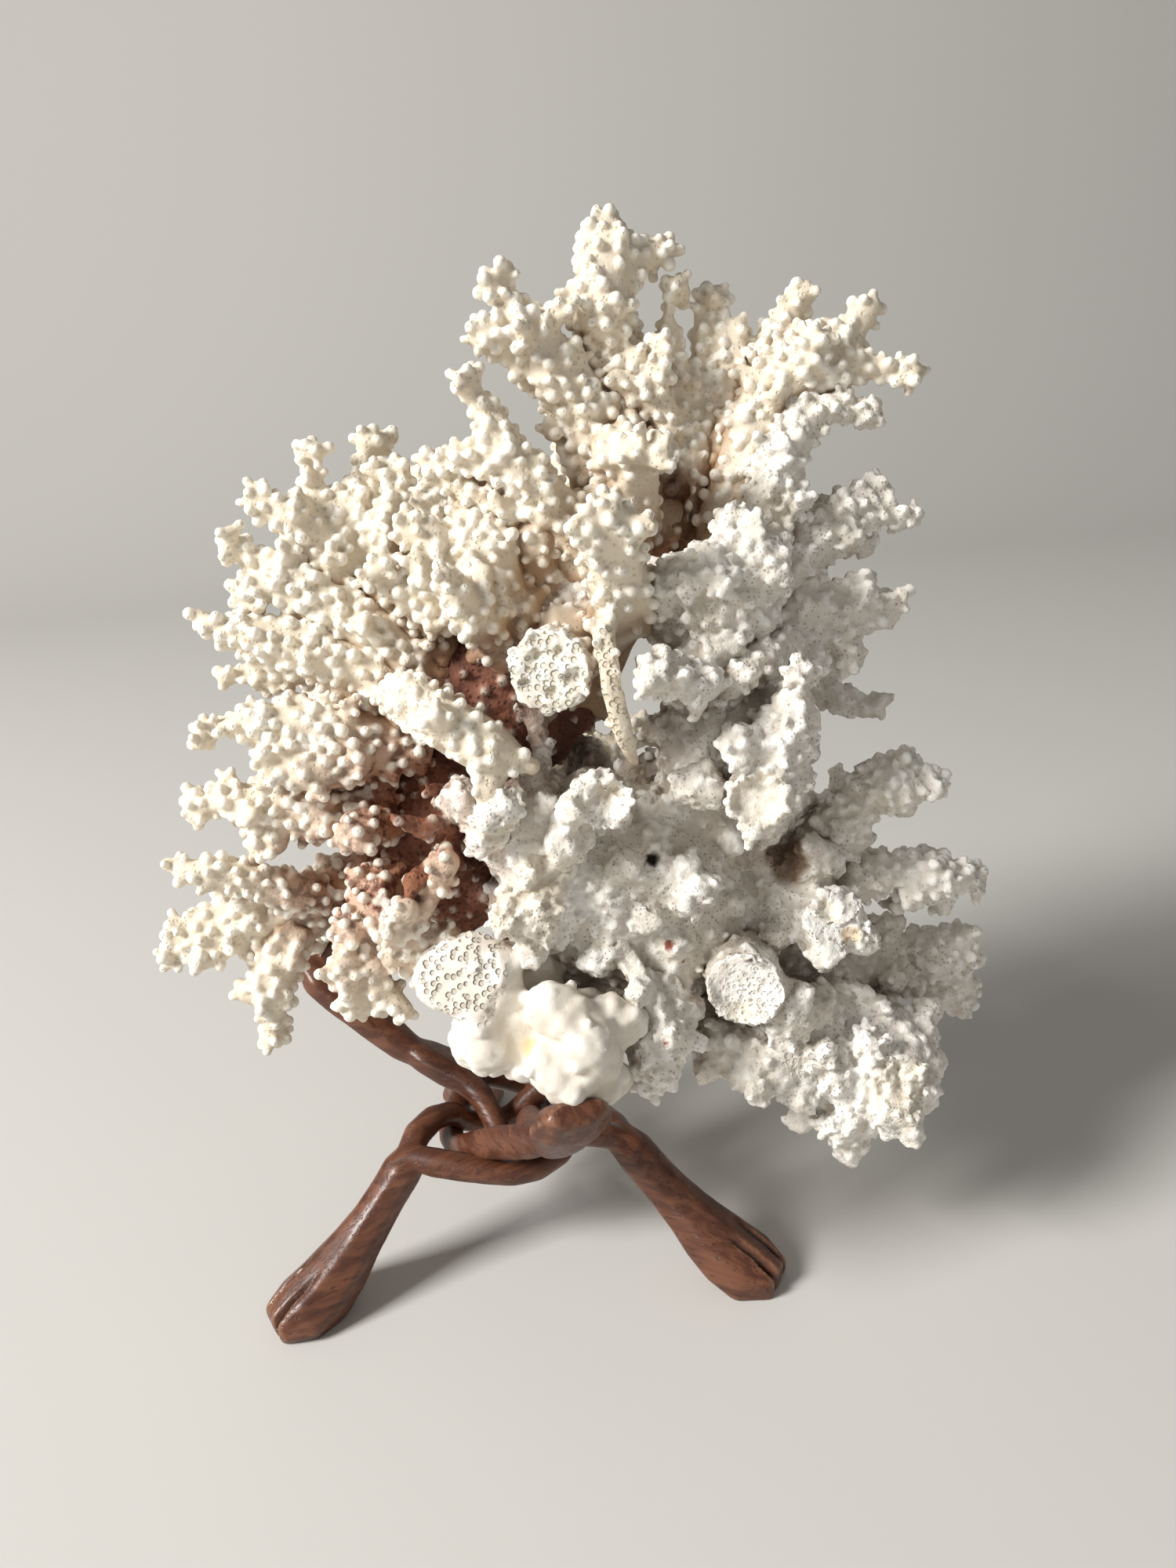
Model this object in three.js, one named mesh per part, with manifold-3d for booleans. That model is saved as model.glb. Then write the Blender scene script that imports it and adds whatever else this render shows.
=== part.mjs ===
// A branching coral colony resting in a three-legged stand carved from dark red wood.
// Millimetres, +Z up. The places below are measured from the table point under the stand's middle,
// with +Y pointing away from the front. The finished group is then centred on its own box.
import * as THREE from 'three';
import { mergeVertices } from 'three/addons/utils/BufferGeometryUtils.js';
import Module from 'manifold-3d';

const wasm = await Module();
wasm.setup();

// Driving dimensions
const GAP = 0.4; // between pieces that touch
const LIMB_SIDES = 5;
const RING_STEP = 12; // length of limb between two rings of knobs
const KNOB_SWELL = 0.26; // how far a knob stands out, as a share of the limb's radius
const WOOD_SIDES = 7;
const WOOD_STEP = 8;
const CORAL_EDGE_MIN = 4.8; // shorter edges are rounded away where forms join
const WOOD_EDGE_MIN = 2.6;
const TURN_LIMIT = 0.4; // cosine of the furthest that a face may turn as edges are rounded away
const CORNERS_SHARED = 4;
const LEAN_LIMIT = 0.45; // cosine of the furthest that a face may lean from a corner's way out

// Finishes
const FINISHES = {
  ivory: { color: 0xe9e0cd, roughness: 0.72, metalness: 0 },
  chalk: { color: 0xe6e4df, roughness: 0.92, metalness: 0 },
  rust: { color: 0x8a5a42, roughness: 0.85, metalness: 0 },
  rosewood: { color: 0x6e3b28, roughness: 0.45, metalness: 0 },
};

// Small tools

const vec = ([x, y, z]) => new THREE.Vector3(x, y, z);

// A repeatable value from 0 to 1 for three whole or broken numbers
function scatter(a, b, c) {
  const wave = Math.sin(a * 12.9898 + b * 78.233 + c * 37.719) * 43758.5453;
  return wave - Math.floor(wave);
}

// Turns a closed three.js geometry into a solid that can be joined and cut. A form bent along a path can
// come out with its faces inwards, and is then turned the right way round.
function solid(geometry) {
  geometry.deleteAttribute('normal');
  geometry.deleteAttribute('uv');
  const welded = mergeVertices(geometry, 1e-4);
  const triVerts = new Uint32Array(welded.index.array);
  const vertProperties = new Float32Array(welded.attributes.position.array);
  if (enclosed(vertProperties, triVerts) < 0) {
    triVerts.reverse();
  }
  return new wasm.Manifold(new wasm.Mesh({ numProp: 3, vertProperties, triVerts }));
}

// The volume that a set of triangles encloses, below zero where they face inwards
function enclosed(places, triangles) {
  const corner = (index) => new THREE.Vector3().fromArray(places, index * 3);
  let volume = 0;
  for (let index = 0; index < triangles.length; index += 3) {
    const [a, b, c] = [0, 1, 2].map((step) => corner(triangles[index + step]));
    volume += a.dot(b.cross(c)) / 6;
  }
  return volume;
}

// The vertices and faces of a solid, as points and triples that can be edited
function open(whole) {
  const { vertProperties, triVerts } = whole.getMesh();
  const points = [];
  for (let index = 0; index < vertProperties.length; index += 3) {
    points.push(new THREE.Vector3().fromArray(vertProperties, index));
  }
  const faces = [];
  for (let index = 0; index < triVerts.length; index += 3) {
    faces.push(Array.from(triVerts.slice(index, index + 3)));
  }
  return { points, faces };
}

function close({ points, faces }) {
  const geometry = new THREE.BufferGeometry().setFromPoints(points);
  geometry.setIndex(faces.flat());
  return solid(geometry);
}

function faceNormal(points, face) {
  const [a, b, c] = face.map((index) => points[index]);
  return new THREE.Vector3().crossVectors(b.clone().sub(a), c.clone().sub(a)).normalize();
}

// The numbers of the faces round each point
function facesRound({ points, faces }) {
  const round = points.map(() => new Set());
  faces.forEach((face, number) => face.forEach((index) => round[index].add(number)));
  return round;
}

// Rounds off a join: the ends of every edge under a length are drawn together, shortest first, wherever
// the surface stays closed and no face turns over. It stays closed where the only points beside both
// ends are the ends themselves and the far corners of the edge's two faces.
function soften(whole, edgeMin) {
  const form = open(whole);
  const { points, faces } = form;
  const round = facesRound(form);
  const beside = (index) => new Set([...round[index]].flatMap((number) => faces[number]));
  const edges = new Set(faces.flatMap(([a, b, c]) => [[a, b], [b, c], [c, a]])
    .filter(([a, b]) => a < b && points[a].distanceTo(points[b]) < edgeMin));
  const shortestFirst = [...edges].sort((one, two) => (
    points[one[0]].distanceTo(points[one[1]]) - points[two[0]].distanceTo(points[two[1]])
  ));
  for (const [keep, drop] of shortestFirst) {
    const besideDrop = beside(drop);
    const shared = [...beside(keep)].filter((index) => besideDrop.has(index));
    const isEdge = besideDrop.has(keep) && points[keep].distanceTo(points[drop]) < edgeMin;
    if (isEdge && shared.length === CORNERS_SHARED) {
      drawTogether(points, faces, round, keep, drop);
    }
  }
  return close({ points, faces: faces.filter((face) => face.length === 3) });
}

function drawTogether(points, faces, round, keep, drop) {
  const both = [...round[keep]].filter((number) => round[drop].has(number));
  const moved = new Set([...round[keep], ...round[drop]].filter((number) => !both.includes(number)));
  const middle = points[keep].clone().lerp(points[drop], 0.5);
  const trial = (index) => (index === keep || index === drop ? middle : points[index]);
  const turnsOver = [...moved].some((number) => {
    const before = faceNormal(points, faces[number]);
    const after = faceNormal(faces[number].map(trial), [0, 1, 2]);
    return before.dot(after) < TURN_LIMIT;
  });
  if (turnsOver) {
    return;
  }
  points[keep].copy(middle);
  both.forEach((number) => {
    faces[number].forEach((index) => round[index].delete(number));
    faces[number] = [];
  });
  round[drop].forEach((number) => {
    faces[number] = faces[number].map((index) => (index === drop ? keep : index));
    round[keep].add(number);
  });
  round[drop].clear();
}

// The same form, fatter all over: every face moves out by at least the distance, and in a sharp crease,
// where the moved faces could cross, the form itself is kept
function fatter(whole, distance) {
  const form = open(whole);
  const round = facesRound(form);
  const grown = form.points.map((point, index) => {
    const normals = [...round[index]].map((number) => faceNormal(form.points, form.faces[number]));
    const out = normals.reduce((sum, normal) => sum.add(normal), new THREE.Vector3()).normalize();
    const leanest = Math.max(LEAN_LIMIT, Math.min(...normals.map((normal) => normal.dot(out))));
    return point.clone().addScaledVector(out, distance / leanest);
  });
  return close({ points: grown, faces: form.faces }).add(whole);
}

// A surface of revolution about its own Z axis, from a profile of [radius, height] points
function turned(profile, sides) {
  const points = profile.map(([r, h]) => new THREE.Vector2(r, h));
  const geometry = new THREE.LatheGeometry(points, sides);
  return geometry.rotateX(Math.PI / 2);
}

// Points a geometry's own Z axis along a direction and moves it to a place
function stand(geometry, place, direction) {
  const up = new THREE.Vector3(0, 0, 1);
  const turn = new THREE.Quaternion().setFromUnitVectors(up, vec(direction).normalize());
  return geometry.applyQuaternion(turn).translate(...place);
}

// Bends a turned bar along a path. sectionAt(t) gives its half width and half height there, and
// swellAt(side, ring) how far each corner of the section stands out.
function bend(path, rings, sides, frames, sectionAt, swellAt) {
  const profile = [[0, 0]];
  for (let ring = 0; ring <= rings; ring += 1) {
    profile.push([1, ring / rings]);
  }
  profile.push([0, 1]);
  const points = profile.map(([r, h]) => new THREE.Vector2(r, h));
  const geometry = new THREE.LatheGeometry(points, sides);
  const corners = geometry.attributes.position;
  for (let index = 0; index < corners.count; index += 1) {
    const side = Math.floor(index / points.length) % sides;
    const ring = THREE.MathUtils.clamp((index % points.length) - 1, 0, rings);
    const onAxis = index % points.length === 0 || index % points.length === points.length - 1;
    const place = path.getPointAt(ring / rings);
    if (!onAxis) {
      const [halfWidth, halfHeight] = sectionAt(ring / rings);
      const swell = swellAt(side, ring);
      const angle = (side / sides) * Math.PI * 2;
      place.addScaledVector(frames.wide[ring], Math.cos(angle) * halfWidth * swell);
      place.addScaledVector(frames.tall[ring], Math.sin(angle) * halfHeight * swell);
    }
    corners.setXYZ(index, place.x, place.y, place.z);
  }
  return geometry;
}

// A value at t along a list of stations, each holding it at one index
function along(stations, t, index) {
  const spot = t * (stations.length - 1);
  const low = Math.min(Math.floor(spot), stations.length - 2);
  return THREE.MathUtils.lerp(stations[low][index], stations[low + 1][index], spot - low);
}

// Coral forms

// A limb covered in knobs, through stations [x, y, z, radius], the last one its tip
function limb(stations) {
  const path = new THREE.CatmullRomCurve3(stations.map(vec));
  const rings = Math.max(2, Math.round(path.getLength() / RING_STEP));
  const turns = path.computeFrenetFrames(rings, false);
  const frames = { wide: turns.normals, tall: turns.binormals };
  const seed = stations[0][0] + stations[0][2];
  const radiusAt = (t) => along(stations, path.getUtoTmapping(t), 3);
  const sectionAt = (t) => [radiusAt(t), radiusAt(t)];
  const swellAt = (side, ring) => {
    const taper = ring === rings ? 0.62 : 1;
    return taper * (1 + KNOB_SWELL * (scatter(side, ring, seed) - 0.35));
  };
  return solid(bend(path, rings, LIMB_SIDES, frames, sectionAt, swellAt));
}

// A rough boulder with three half sizes
function boulder([x, y, z], [sizeX, sizeY, sizeZ], detail) {
  const geometry = new THREE.IcosahedronGeometry(1, detail);
  const corners = geometry.attributes.position;
  for (let index = 0; index < corners.count; index += 1) {
    const corner = new THREE.Vector3().fromBufferAttribute(corners, index);
    const key = corner.clone().multiplyScalar(9).round();
    const swell = 0.9 + 0.22 * scatter(key.x, key.y, key.z + x);
    corners.setXYZ(
      index,
      x + corner.x * sizeX * swell,
      y + corner.y * sizeY * swell,
      z + corner.z * sizeZ * swell,
    );
  }
  return solid(geometry);
}

// A small round knob
const knob = ([x, y, z, r]) => boulder([x, y, z], [r, r, r], 0);

// The end of a broken branch: a round stub with a raised rim round a worn dish
function brokenEnd([x, y, z, r], direction, length) {
  const profile = [
    [0, -length],
    [r * 0.8, -length],
    [r, -length * 0.4],
    [r, 0],
    [r * 0.78, 1],
    [r * 0.5, -r * 0.18],
    [0, -r * 0.24],
  ];
  return solid(stand(turned(profile, 9), [x, y, z], direction));
}

const limbs = (list) => list.map(limb);
const knobs = (list) => list.map(knob);

// The stand. A leg's own frame has u from foot to head, v to the left and w up.

const LEG_TURNS = { leg_left: 30, leg_right: 152, leg_back: 287 }; // way from foot to head, in degrees
const SHANK = [
  [-86, 0, 2.5, 9.5, 6.5],
  [-77, 0, 4, 11.5, 9.5],
  [-67, 0, 10.5, 10, 9],
  [-56, 0, 21, 6.6, 6.4],
  [-48, 0, 29, 5.6, 5.6],
  [-41, 0, 37, 6.2, 5.4],
  [-34, 0, 42, 6.4, 4.6],
];
const LEFT_STRAND = [
  [-38, 1, 41, 4, 4],
  [-29, 6.5, 45, 3.6, 3.6],
  [-19, 10, 43.5, 3.3, 3.3],
  [-8, 9.5, 34.5, 3, 3],
  [2, 7, 36, 3, 3],
  [9, 3, 43.5, 3.3, 3.3],
  [16, 0.5, 48, 4, 3.8],
  [25, 0, 51, 4.8, 4.4],
  [40, 0, 57, 5, 4.6],
];
const RIGHT_STRAND = [
  [-38, -1, 41, 4, 4],
  [-25, -11, 38, 4, 3.6],
  [-12, -19.5, 35, 3.6, 3.2],
  [0, -21, 35, 3.2, 3.2],
  [10, -18, 40, 3.8, 3.8],
  [18, -12.5, 44.8, 4.4, 4.4],
  [27, -6, 49, 4.8, 4.8],
  [40, 0, 57, 5, 5],
];
const ARM = [
  [34, 0, 54, 4.8, 4.6],
  [44, 0, 59, 5.2, 4.8],
  [56, 0, 68, 7.5, 5.2],
  [66, 0, 78, 11.5, 6],
  [74, 0, 86, 10.5, 4],
];
const TOE_SLIT = { reach: 13, width: 1.2, spread: 3.6 };
const UNDER_GROUND = [300, 300, 40]; // what is cut away below the table top, to leave flat soles

// A carved bar through stations [u, v, w, half width, half height], turned to its leg's way
function bar(stations, turn) {
  const path = new THREE.CatmullRomCurve3(stations.map(vec));
  const rings = Math.round(path.getLength() / WOOD_STEP);
  const up = new THREE.Vector3(0, 0, 1);
  const frames = { wide: [], tall: [] };
  for (let ring = 0; ring <= rings; ring += 1) {
    const tangent = path.getTangentAt(ring / rings);
    const wide = new THREE.Vector3().crossVectors(tangent, up).normalize();
    frames.wide.push(wide);
    frames.tall.push(new THREE.Vector3().crossVectors(wide, tangent));
  }
  const sectionAt = (t) => {
    const at = path.getUtoTmapping(t);
    return [along(stations, at, 3), along(stations, at, 4)];
  };
  const swellAt = (side, ring) => (ring === 0 || ring === rings ? 0.75 : 1);
  return solid(bend(path, rings, WOOD_SIDES, frames, sectionAt, swellAt).rotateZ(turn));
}

// The slits that part three toes at the front of a foot
function toeSlits(turn) {
  return [-TOE_SLIT.spread, TOE_SLIT.spread].map((v) => {
    const slit = new THREE.BoxGeometry(TOE_SLIT.reach, TOE_SLIT.width, TOE_SLIT.reach);
    slit.rotateY(0.35).translate(SHANK[0][0] - 1, v, SHANK[0][2] + 4).rotateZ(turn);
    return solid(slit);
  });
}

function leg(degrees) {
  const turn = THREE.MathUtils.degToRad(degrees);
  const bars = [SHANK, LEFT_STRAND, RIGHT_STRAND, ARM].map((stations) => bar(stations, turn));
  const ground = solid(new THREE.BoxGeometry(...UNDER_GROUND).translate(0, 0, -UNDER_GROUND[2] / 2));
  const smooth = soften(wasm.Manifold.union(bars), WOOD_EDGE_MIN).subtract(ground);
  return toeSlits(turn).reduce((wood, slit) => wood.subtract(slit), smooth);
}

// The coral. Each entry is one piece between two main forks, from the core outwards.

const coral = {
  core_brown: {
    finish: 'rust',
    build: () => [
      boulder([-10, 5, 140], [26, 25, 34], 1),
      boulder([10, 6, 180], [27, 24, 26], 1),
      ...limbs([
        [[-4, -12, 150, 5], [-7, -34, 163, 3.4], [-13, -41, 169, 2.4]],
        [[0, -12, 146, 6], [-8, -36, 154, 4], [-22, -44, 161, 3]],
        [[-4, -12, 136, 6], [-10, -38, 144, 4], [-18, -44, 139, 3.6], [-20, -44, 129, 3]],
      ]),
      ...knobs([[-26, -18, 158, 4], [-32, -10, 136, 4], [-14, -22, 128, 4]]),
    ],
  },
  chalk_mass: {
    finish: 'chalk',
    build: () => [
      boulder([38, -10, 118], [37, 34, 40], 2),
      boulder([72, -12, 156], [23, 21, 28], 1),
      boulder([86, -8, 112], [19, 22, 22], 1),
      boulder([18, -32, 148], [19, 16, 17], 1),
      boulder([60, 28, 100], [16, 15, 15], 1),
      boulder([14, -44, 132], [11, 8, 13], 1),
      brokenEnd([35, -52, 163, 8], [0.1, -1, 0.2], 14),
      brokenEnd([97, -36, 114, 10.5], [0.35, -1, 0.1], 16),
      ...knobs([
        [7, -48, 158, 7], [46, -46, 148, 7], [58, -42, 132, 8], [60, -38, 160, 8], [52, -30, 174, 8],
      ]),
    ],
    pits: [[38, -47, 135, 5], [84, -32, 96, 6]],
  },
  trunk_upper: {
    finish: 'ivory',
    build: () => [
      ...limbs([
        [[22, 4, 180, 19], [36, 1, 204, 17], [46, 3, 224, 13], [47, 4, 240, 11]],
        [[46, -2, 222, 11], [49, -14, 238, 9], [49, -23, 249, 7]],
        [[44, 4, 205, 12], [58, 6, 218, 10], [66, 7, 230, 9]],
        [[30, -10, 195, 11], [28, -32, 200, 9]],
      ]),
      brokenEnd([24, -46, 196, 11], [-0.15, -1, 0.1], 18),
      ...knobs([[29, -38, 214, 8], [57, -22, 244, 6]]),
    ],
  },
  crown_spire: {
    finish: 'ivory',
    build: () => limbs([
      [[46, 5, 236, 9], [44, 8, 250, 8.5], [45, 11, 264, 7.5], [47, 13, 280, 7], [50, 16, 302, 5.5]],
      [[50, 15, 291, 4.5], [58, 15, 294, 3.5], [66, 14, 293, 2.5]],
      [[45, 12, 272, 5], [38, 11, 281, 4], [33, 10, 284, 3]],
      [[46, 10, 268, 5.5], [53, 6, 277, 5]],
    ]),
  },
  upper_left_limb: {
    finish: 'ivory',
    build: () => limbs([
      [[43, 3, 236, 10], [37, 4, 256, 9], [29, 2, 269, 8.5], [23, 1, 278, 7.5], [18, 0, 288, 6]],
      [[34, 2, 262, 6], [26, -8, 262, 4.5]],
    ]),
  },
  left_shoulder_limb: {
    finish: 'ivory',
    build: () => limbs([
      [[38, -4, 208, 10], [30, -9, 226, 9], [21, -12, 241, 7.5], [13, -12, 255, 6], [9, -12, 265, 4.5]],
      [[22, -12, 238, 5.5], [12, -15, 244, 4.5], [2, -13, 249, 3.5]],
      [[18, -8, 226, 7], [5, -7, 238, 5.5], [-6, -4, 248, 4]],
    ]),
  },
  front_centre_limb: {
    finish: 'ivory',
    build: () => limbs([
      [[44, -8, 200, 10], [44, -26, 207, 10], [42, -38, 222, 9], [40, -48, 238, 7]],
      [[42, -40, 226, 7], [31, -50, 233, 4.5]],
      [[42, -40, 226, 7], [52, -50, 232, 4.5]],
      [[40, -32, 210, 5], [39, -46, 200, 3.5], [39, -49, 188, 3.3], [42, -48, 176, 3.6], [44, -42, 168, 4.5]],
    ]),
  },
  top_fan: {
    finish: 'ivory',
    build: () => limbs([
      [[60, 5, 218, 9], [65, 8, 234, 9], [69, 12, 249, 7]],
      [[67, 12, 244, 6], [64, 13, 262, 4.6], [62, 12, 281, 3]],
      [[69, 13, 246, 6], [72, 18, 265, 4.4], [72, 20, 284, 3]],
      [[71, 15, 248, 6], [77, 21, 268, 4], [78, 24, 284, 3]],
      [[72, 13, 244, 6], [79, 15, 261, 4.6], [84, 16, 275, 3]],
      [[63, 8, 242, 6.5], [56, 4, 257, 5], [45, 0, 264, 4]],
    ]),
  },
  right_fan: {
    finish: 'ivory',
    build: () => limbs([
      [[68, 8, 222, 9], [76, 12, 242, 8], [85, 15, 257, 6.5], [92, 17, 269, 5], [96, 18, 281, 3.5]],
      [[88, 16, 262, 5], [97, 19, 272, 4.2], [103, 20, 279, 3]],
    ]),
  },
  right_top_limb: {
    finish: 'ivory',
    build: () => limbs([
      [[72, -1, 214, 8], [79, 4, 235, 7.5], [87, 8, 249, 8], [95, 10, 261, 8.5], [100, 11, 272, 6]],
      [[100, 10, 262, 7], [108, 12, 274, 4]],
      [[98, 6, 260, 7], [101, -3, 268, 4.5]],
      [[101, 10, 262, 7], [111, 12, 266, 5.5], [118, 12, 269, 4], [120, 12, 277, 2.5]],
      [[100, 8, 258, 6.5], [114, 8, 260, 5], [127, 6, 257, 3.4]],
    ]),
  },
  white_knob_mass: {
    finish: 'chalk',
    build: () => [
      boulder([68, -18, 204], [19, 15, 15], 1),
      boulder([66, -20, 188], [13, 13, 14], 1),
      ...knobs([
        [54, -28, 210, 8], [67, -30, 214, 9], [80, -26, 215, 9], [74, -22, 225, 7], [52, -42, 193, 7],
        [62, -38, 188, 7],
      ]),
      limb([[62, -22, 188, 10], [54, -38, 188, 7]]),
    ],
  },
  dead_limb_top: {
    finish: 'chalk',
    build: () => limbs([
      [[78, -10, 208, 8], [86, -6, 227, 8], [92, -1, 242, 6.5], [103, 2, 250, 5], [119, 3, 247, 2.8]],
      [[86, -6, 226, 6], [78, -12, 230, 5]],
    ]),
  },
  dead_limb_right: {
    finish: 'chalk',
    build: () => limbs([
      [[80, -8, 200, 9], [93, -3, 210, 8], [104, 1, 219, 7.5], [112, 4, 225, 6.5], [118, 6, 232, 4]],
      [[108, 3, 221, 6], [121, 4, 221, 4.6], [131, 4, 220, 2.8]],
      [[102, 1, 217, 6], [110, 2, 213, 5], [116, 2, 210, 3.6]],
    ]),
  },
  dead_limb_lower: {
    finish: 'chalk',
    build: () => limbs([
      [[72, -12, 192, 10], [88, -9, 197, 10], [104, -6, 197, 9], [121, -4, 192, 6]],
      [[108, -6, 200, 6], [114, -5, 207, 4]],
      [[86, -16, 192, 5], [78, -24, 186, 4.5], [70, -26, 178, 5]],
    ]),
  },
  left_mass: {
    finish: 'ivory',
    build: () => limbs([
      [[14, -4, 194, 14], [9, -10, 208, 12], [10, -13, 222, 10], [7, -12, 234, 6]],
      [[4, -12, 213, 8], [-5, -20, 218, 6], [-11, -24, 222, 4]],
      [[1, -12, 221, 7], [-7, -16, 229, 5], [-12, -16, 235, 3.6]],
      [[8, -16, 204, 9], [4, -30, 210, 7], [3, -35, 216, 5]],
      [[-2, -12, 206, 8], [-14, -16, 214, 6], [-22, -18, 221, 4]],
    ]),
  },
  left_fingers: {
    finish: 'ivory',
    build: () => limbs([
      [[-4, -2, 192, 11], [-18, -3, 206, 10], [-29, -1, 216, 8]],
      [[-30, 0, 213, 7], [-34, 1, 228, 6], [-36, 3, 239, 5.5], [-37, 5, 250, 4]],
      [[-31, -4, 216, 7], [-39, -6, 231, 6], [-46, -7, 239, 5], [-52, -6, 243, 3.8]],
      [[-27, 1, 214, 7], [-26, 3, 228, 6], [-24, 6, 241, 5.5], [-22, 8, 251, 4]],
      [[-19, -3, 210, 7], [-18, -3, 227, 5.6], [-13, -1, 239, 5], [-10, 0, 246, 3.8]],
    ]),
  },
  left_arm_high: {
    finish: 'ivory',
    build: () => limbs([
      [[-8, -8, 186, 10], [-24, -9, 202, 8.5], [-38, -9, 214, 7.5], [-48, -8, 223, 6.5], [-58, -8, 228, 4.6]],
      [[-36, -9, 212, 6], [-44, -14, 222, 4.5]],
    ]),
  },
  left_arm_middle: {
    finish: 'ivory',
    build: () => limbs([
      [[-8, -10, 180, 10], [-26, -12, 192, 9], [-40, -12, 198, 8], [-55, -13, 204, 6], [-69, -14, 209, 4]],
      [[-50, -12, 201, 6], [-64, -9, 203, 4.4]],
      [[-40, -10, 194, 6.5], [-54, -7, 191, 5.4], [-66, -6, 194, 4]],
    ]),
  },
  left_arm_low: {
    finish: 'ivory',
    build: () => limbs([
      [[-12, -12, 168, 8], [-30, -18, 176, 7], [-44, -20, 181, 6], [-57, -20, 183, 5], [-70, -20, 181, 3.8]],
      [[-24, -14, 168, 8], [-42, -24, 169, 7.5], [-56, -26, 169, 5.5]],
    ]),
  },
  left_spur: {
    finish: 'ivory',
    build: () => limbs([
      [[-24, -6, 156, 10], [-42, -12, 152, 9], [-56, -14, 155, 8], [-69, -14, 160, 6], [-82, -14, 156, 4]],
      [[-28, -14, 150, 8], [-33, -35, 152, 6.5]],
    ]),
  },
  lower_left_limb: {
    finish: 'ivory',
    build: () => limbs([
      [[-24, 2, 130, 11], [-50, -5, 123, 10], [-70, -12, 121, 7.5], [-83, -14, 121, 6], [-96, -16, 117, 4]],
      [[-50, -10, 127, 7], [-60, -18, 133, 6], [-71, -21, 140, 5], [-86, -22, 143, 3.8]],
      [[-72, -15, 118, 5], [-86, -22, 111, 3.8]],
      [[-36, 10, 118, 10], [-51, 25, 106, 10], [-60, 32, 93, 8]],
    ]),
  },
  left_hanging_arm: {
    finish: 'ivory',
    build: () => [
      limb([[-58, -11, 118, 8], [-63, -17, 108, 7], [-66, -21, 98, 6.6], [-67, -22, 88, 5.6]]),
    ],
  },
  front_cream_limb: {
    finish: 'ivory',
    build: () => [
      limb([[-16, -14, 182, 7], [-14, -34, 190, 7], [-2, -42, 183, 8], [9, -46, 176, 8], [20, -47, 171, 5]]),
    ],
  },
  hanging_twigs: {
    finish: 'ivory',
    build: () => limbs([
      [[-24, -12, 130, 8], [-35, -29, 128, 7], [-39, -34, 116, 4.6], [-41, -32, 99, 3.4]],
      [[-28, -25, 127, 7], [-31, -34, 114, 5], [-32, -32, 98, 3.4]],
      [[-30, -28, 126, 6], [-20, -38, 120, 5]],
    ]),
  },
  porcelain_base: {
    finish: 'chalk',
    build: () => [
      boulder([-1, -44, 97], [12, 11, 13], 1),
      boulder([22, -49, 96], [15, 13, 14], 1),
      boulder([6, -36, 106], [16, 14, 13], 1),
      brokenEnd([-6, -47, 115, 8.5], [-0.2, -1, 0.15], 14),
      limb([[14, -48, 130, 3], [12, -54, 120, 2.8], [9, -56, 108, 3]]),
      knob([10, -46, 86, 7]),
      knob([21, -58, 88, 7]),
    ],
  },
  hanging_block: {
    finish: 'chalk',
    build: () => limbs([
      [[44, -30, 106, 8], [45, -46, 98, 9], [44, -47, 86, 9], [44, -45, 74, 7]],
      [[36, -40, 118, 4.5], [42, -50, 107, 3.4], [50, -51, 95, 3.2], [60, -46, 86, 4]],
    ]),
  },
  lower_right_knob: {
    finish: 'chalk',
    build: () => [
      boulder([107, -26, 63], [21, 20, 21], 1),
      ...limbs([
        [[62, -22, 84, 10], [68, -38, 76, 10], [84, -35, 75, 11], [100, -28, 68, 13]],
        [[104, -28, 52, 7], [101, -30, 36, 3.4]],
        [[116, -26, 52, 7], [119, -25, 42, 3.4]],
      ]),
      ...knobs([[125, -22, 62, 8], [106, -40, 74, 8], [110, -42, 58, 8], [104, -24, 81, 7]]),
    ],
  },
  round_disc_end: {
    finish: 'chalk',
    build: () => [
      brokenEnd([69, -48, 104, 11], [-0.1, -1, 0.05], 24),
      knob([80, -38, 96, 8]),
    ],
  },
  right_low_arm: {
    finish: 'chalk',
    build: () => limbs([
      [[82, -6, 96, 12], [100, -3, 87, 12], [118, -2, 84, 11], [133, -1, 86, 10], [143, 0, 89, 7]],
      [[132, -1, 88, 7], [139, -2, 97, 4.5]],
    ]),
  },
  antler_upper: {
    finish: 'chalk',
    build: () => limbs([
      [[90, -10, 124, 10], [102, -13, 132, 9], [106, -14, 143, 8], [116, -14, 151, 7], [132, -12, 146, 4]],
      [[110, -14, 148, 6], [113, -13, 158, 4]],
      [[112, -14, 146, 5.5], [124, -14, 138, 3.8]],
    ]),
  },
  antler_lower: {
    finish: 'chalk',
    build: () => limbs([
      [[90, -12, 114, 9], [108, -14, 120, 8], [122, -14, 121, 7], [134, -13, 119, 6], [142, -12, 117, 4]],
      [[118, -14, 118, 5], [119, -15, 108, 3]],
    ]),
  },
  right_finger: {
    finish: 'chalk',
    build: () => [
      ...limbs([
        [[72, -20, 148, 11], [79, -33, 160, 10], [84, -35, 173, 8.5], [89, -35, 188, 5.6]],
        [[88, -12, 150, 9], [99, -8, 150, 8], [103, -6, 158, 5]],
      ]),
      brokenEnd([75, -46, 157, 9], [-0.1, -1, 0.1], 12),
    ],
  },
  back_crown: {
    finish: 'ivory',
    build: () => limbs([
      [[44, 14, 212, 11], [40, 32, 226, 9], [36, 42, 242, 7], [32, 48, 260, 4.4]],
      [[38, 36, 230, 6], [50, 46, 240, 5], [56, 50, 254, 3.8]],
    ]),
  },
  back_upper_left: {
    finish: 'ivory',
    build: () => limbs([
      [[8, 14, 192, 12], [-2, 32, 208, 9], [-10, 46, 224, 7], [-16, 56, 241, 4.4]],
      [[-4, 36, 212, 6.5], [-20, 40, 220, 5], [-32, 44, 232, 3.8]],
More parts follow.
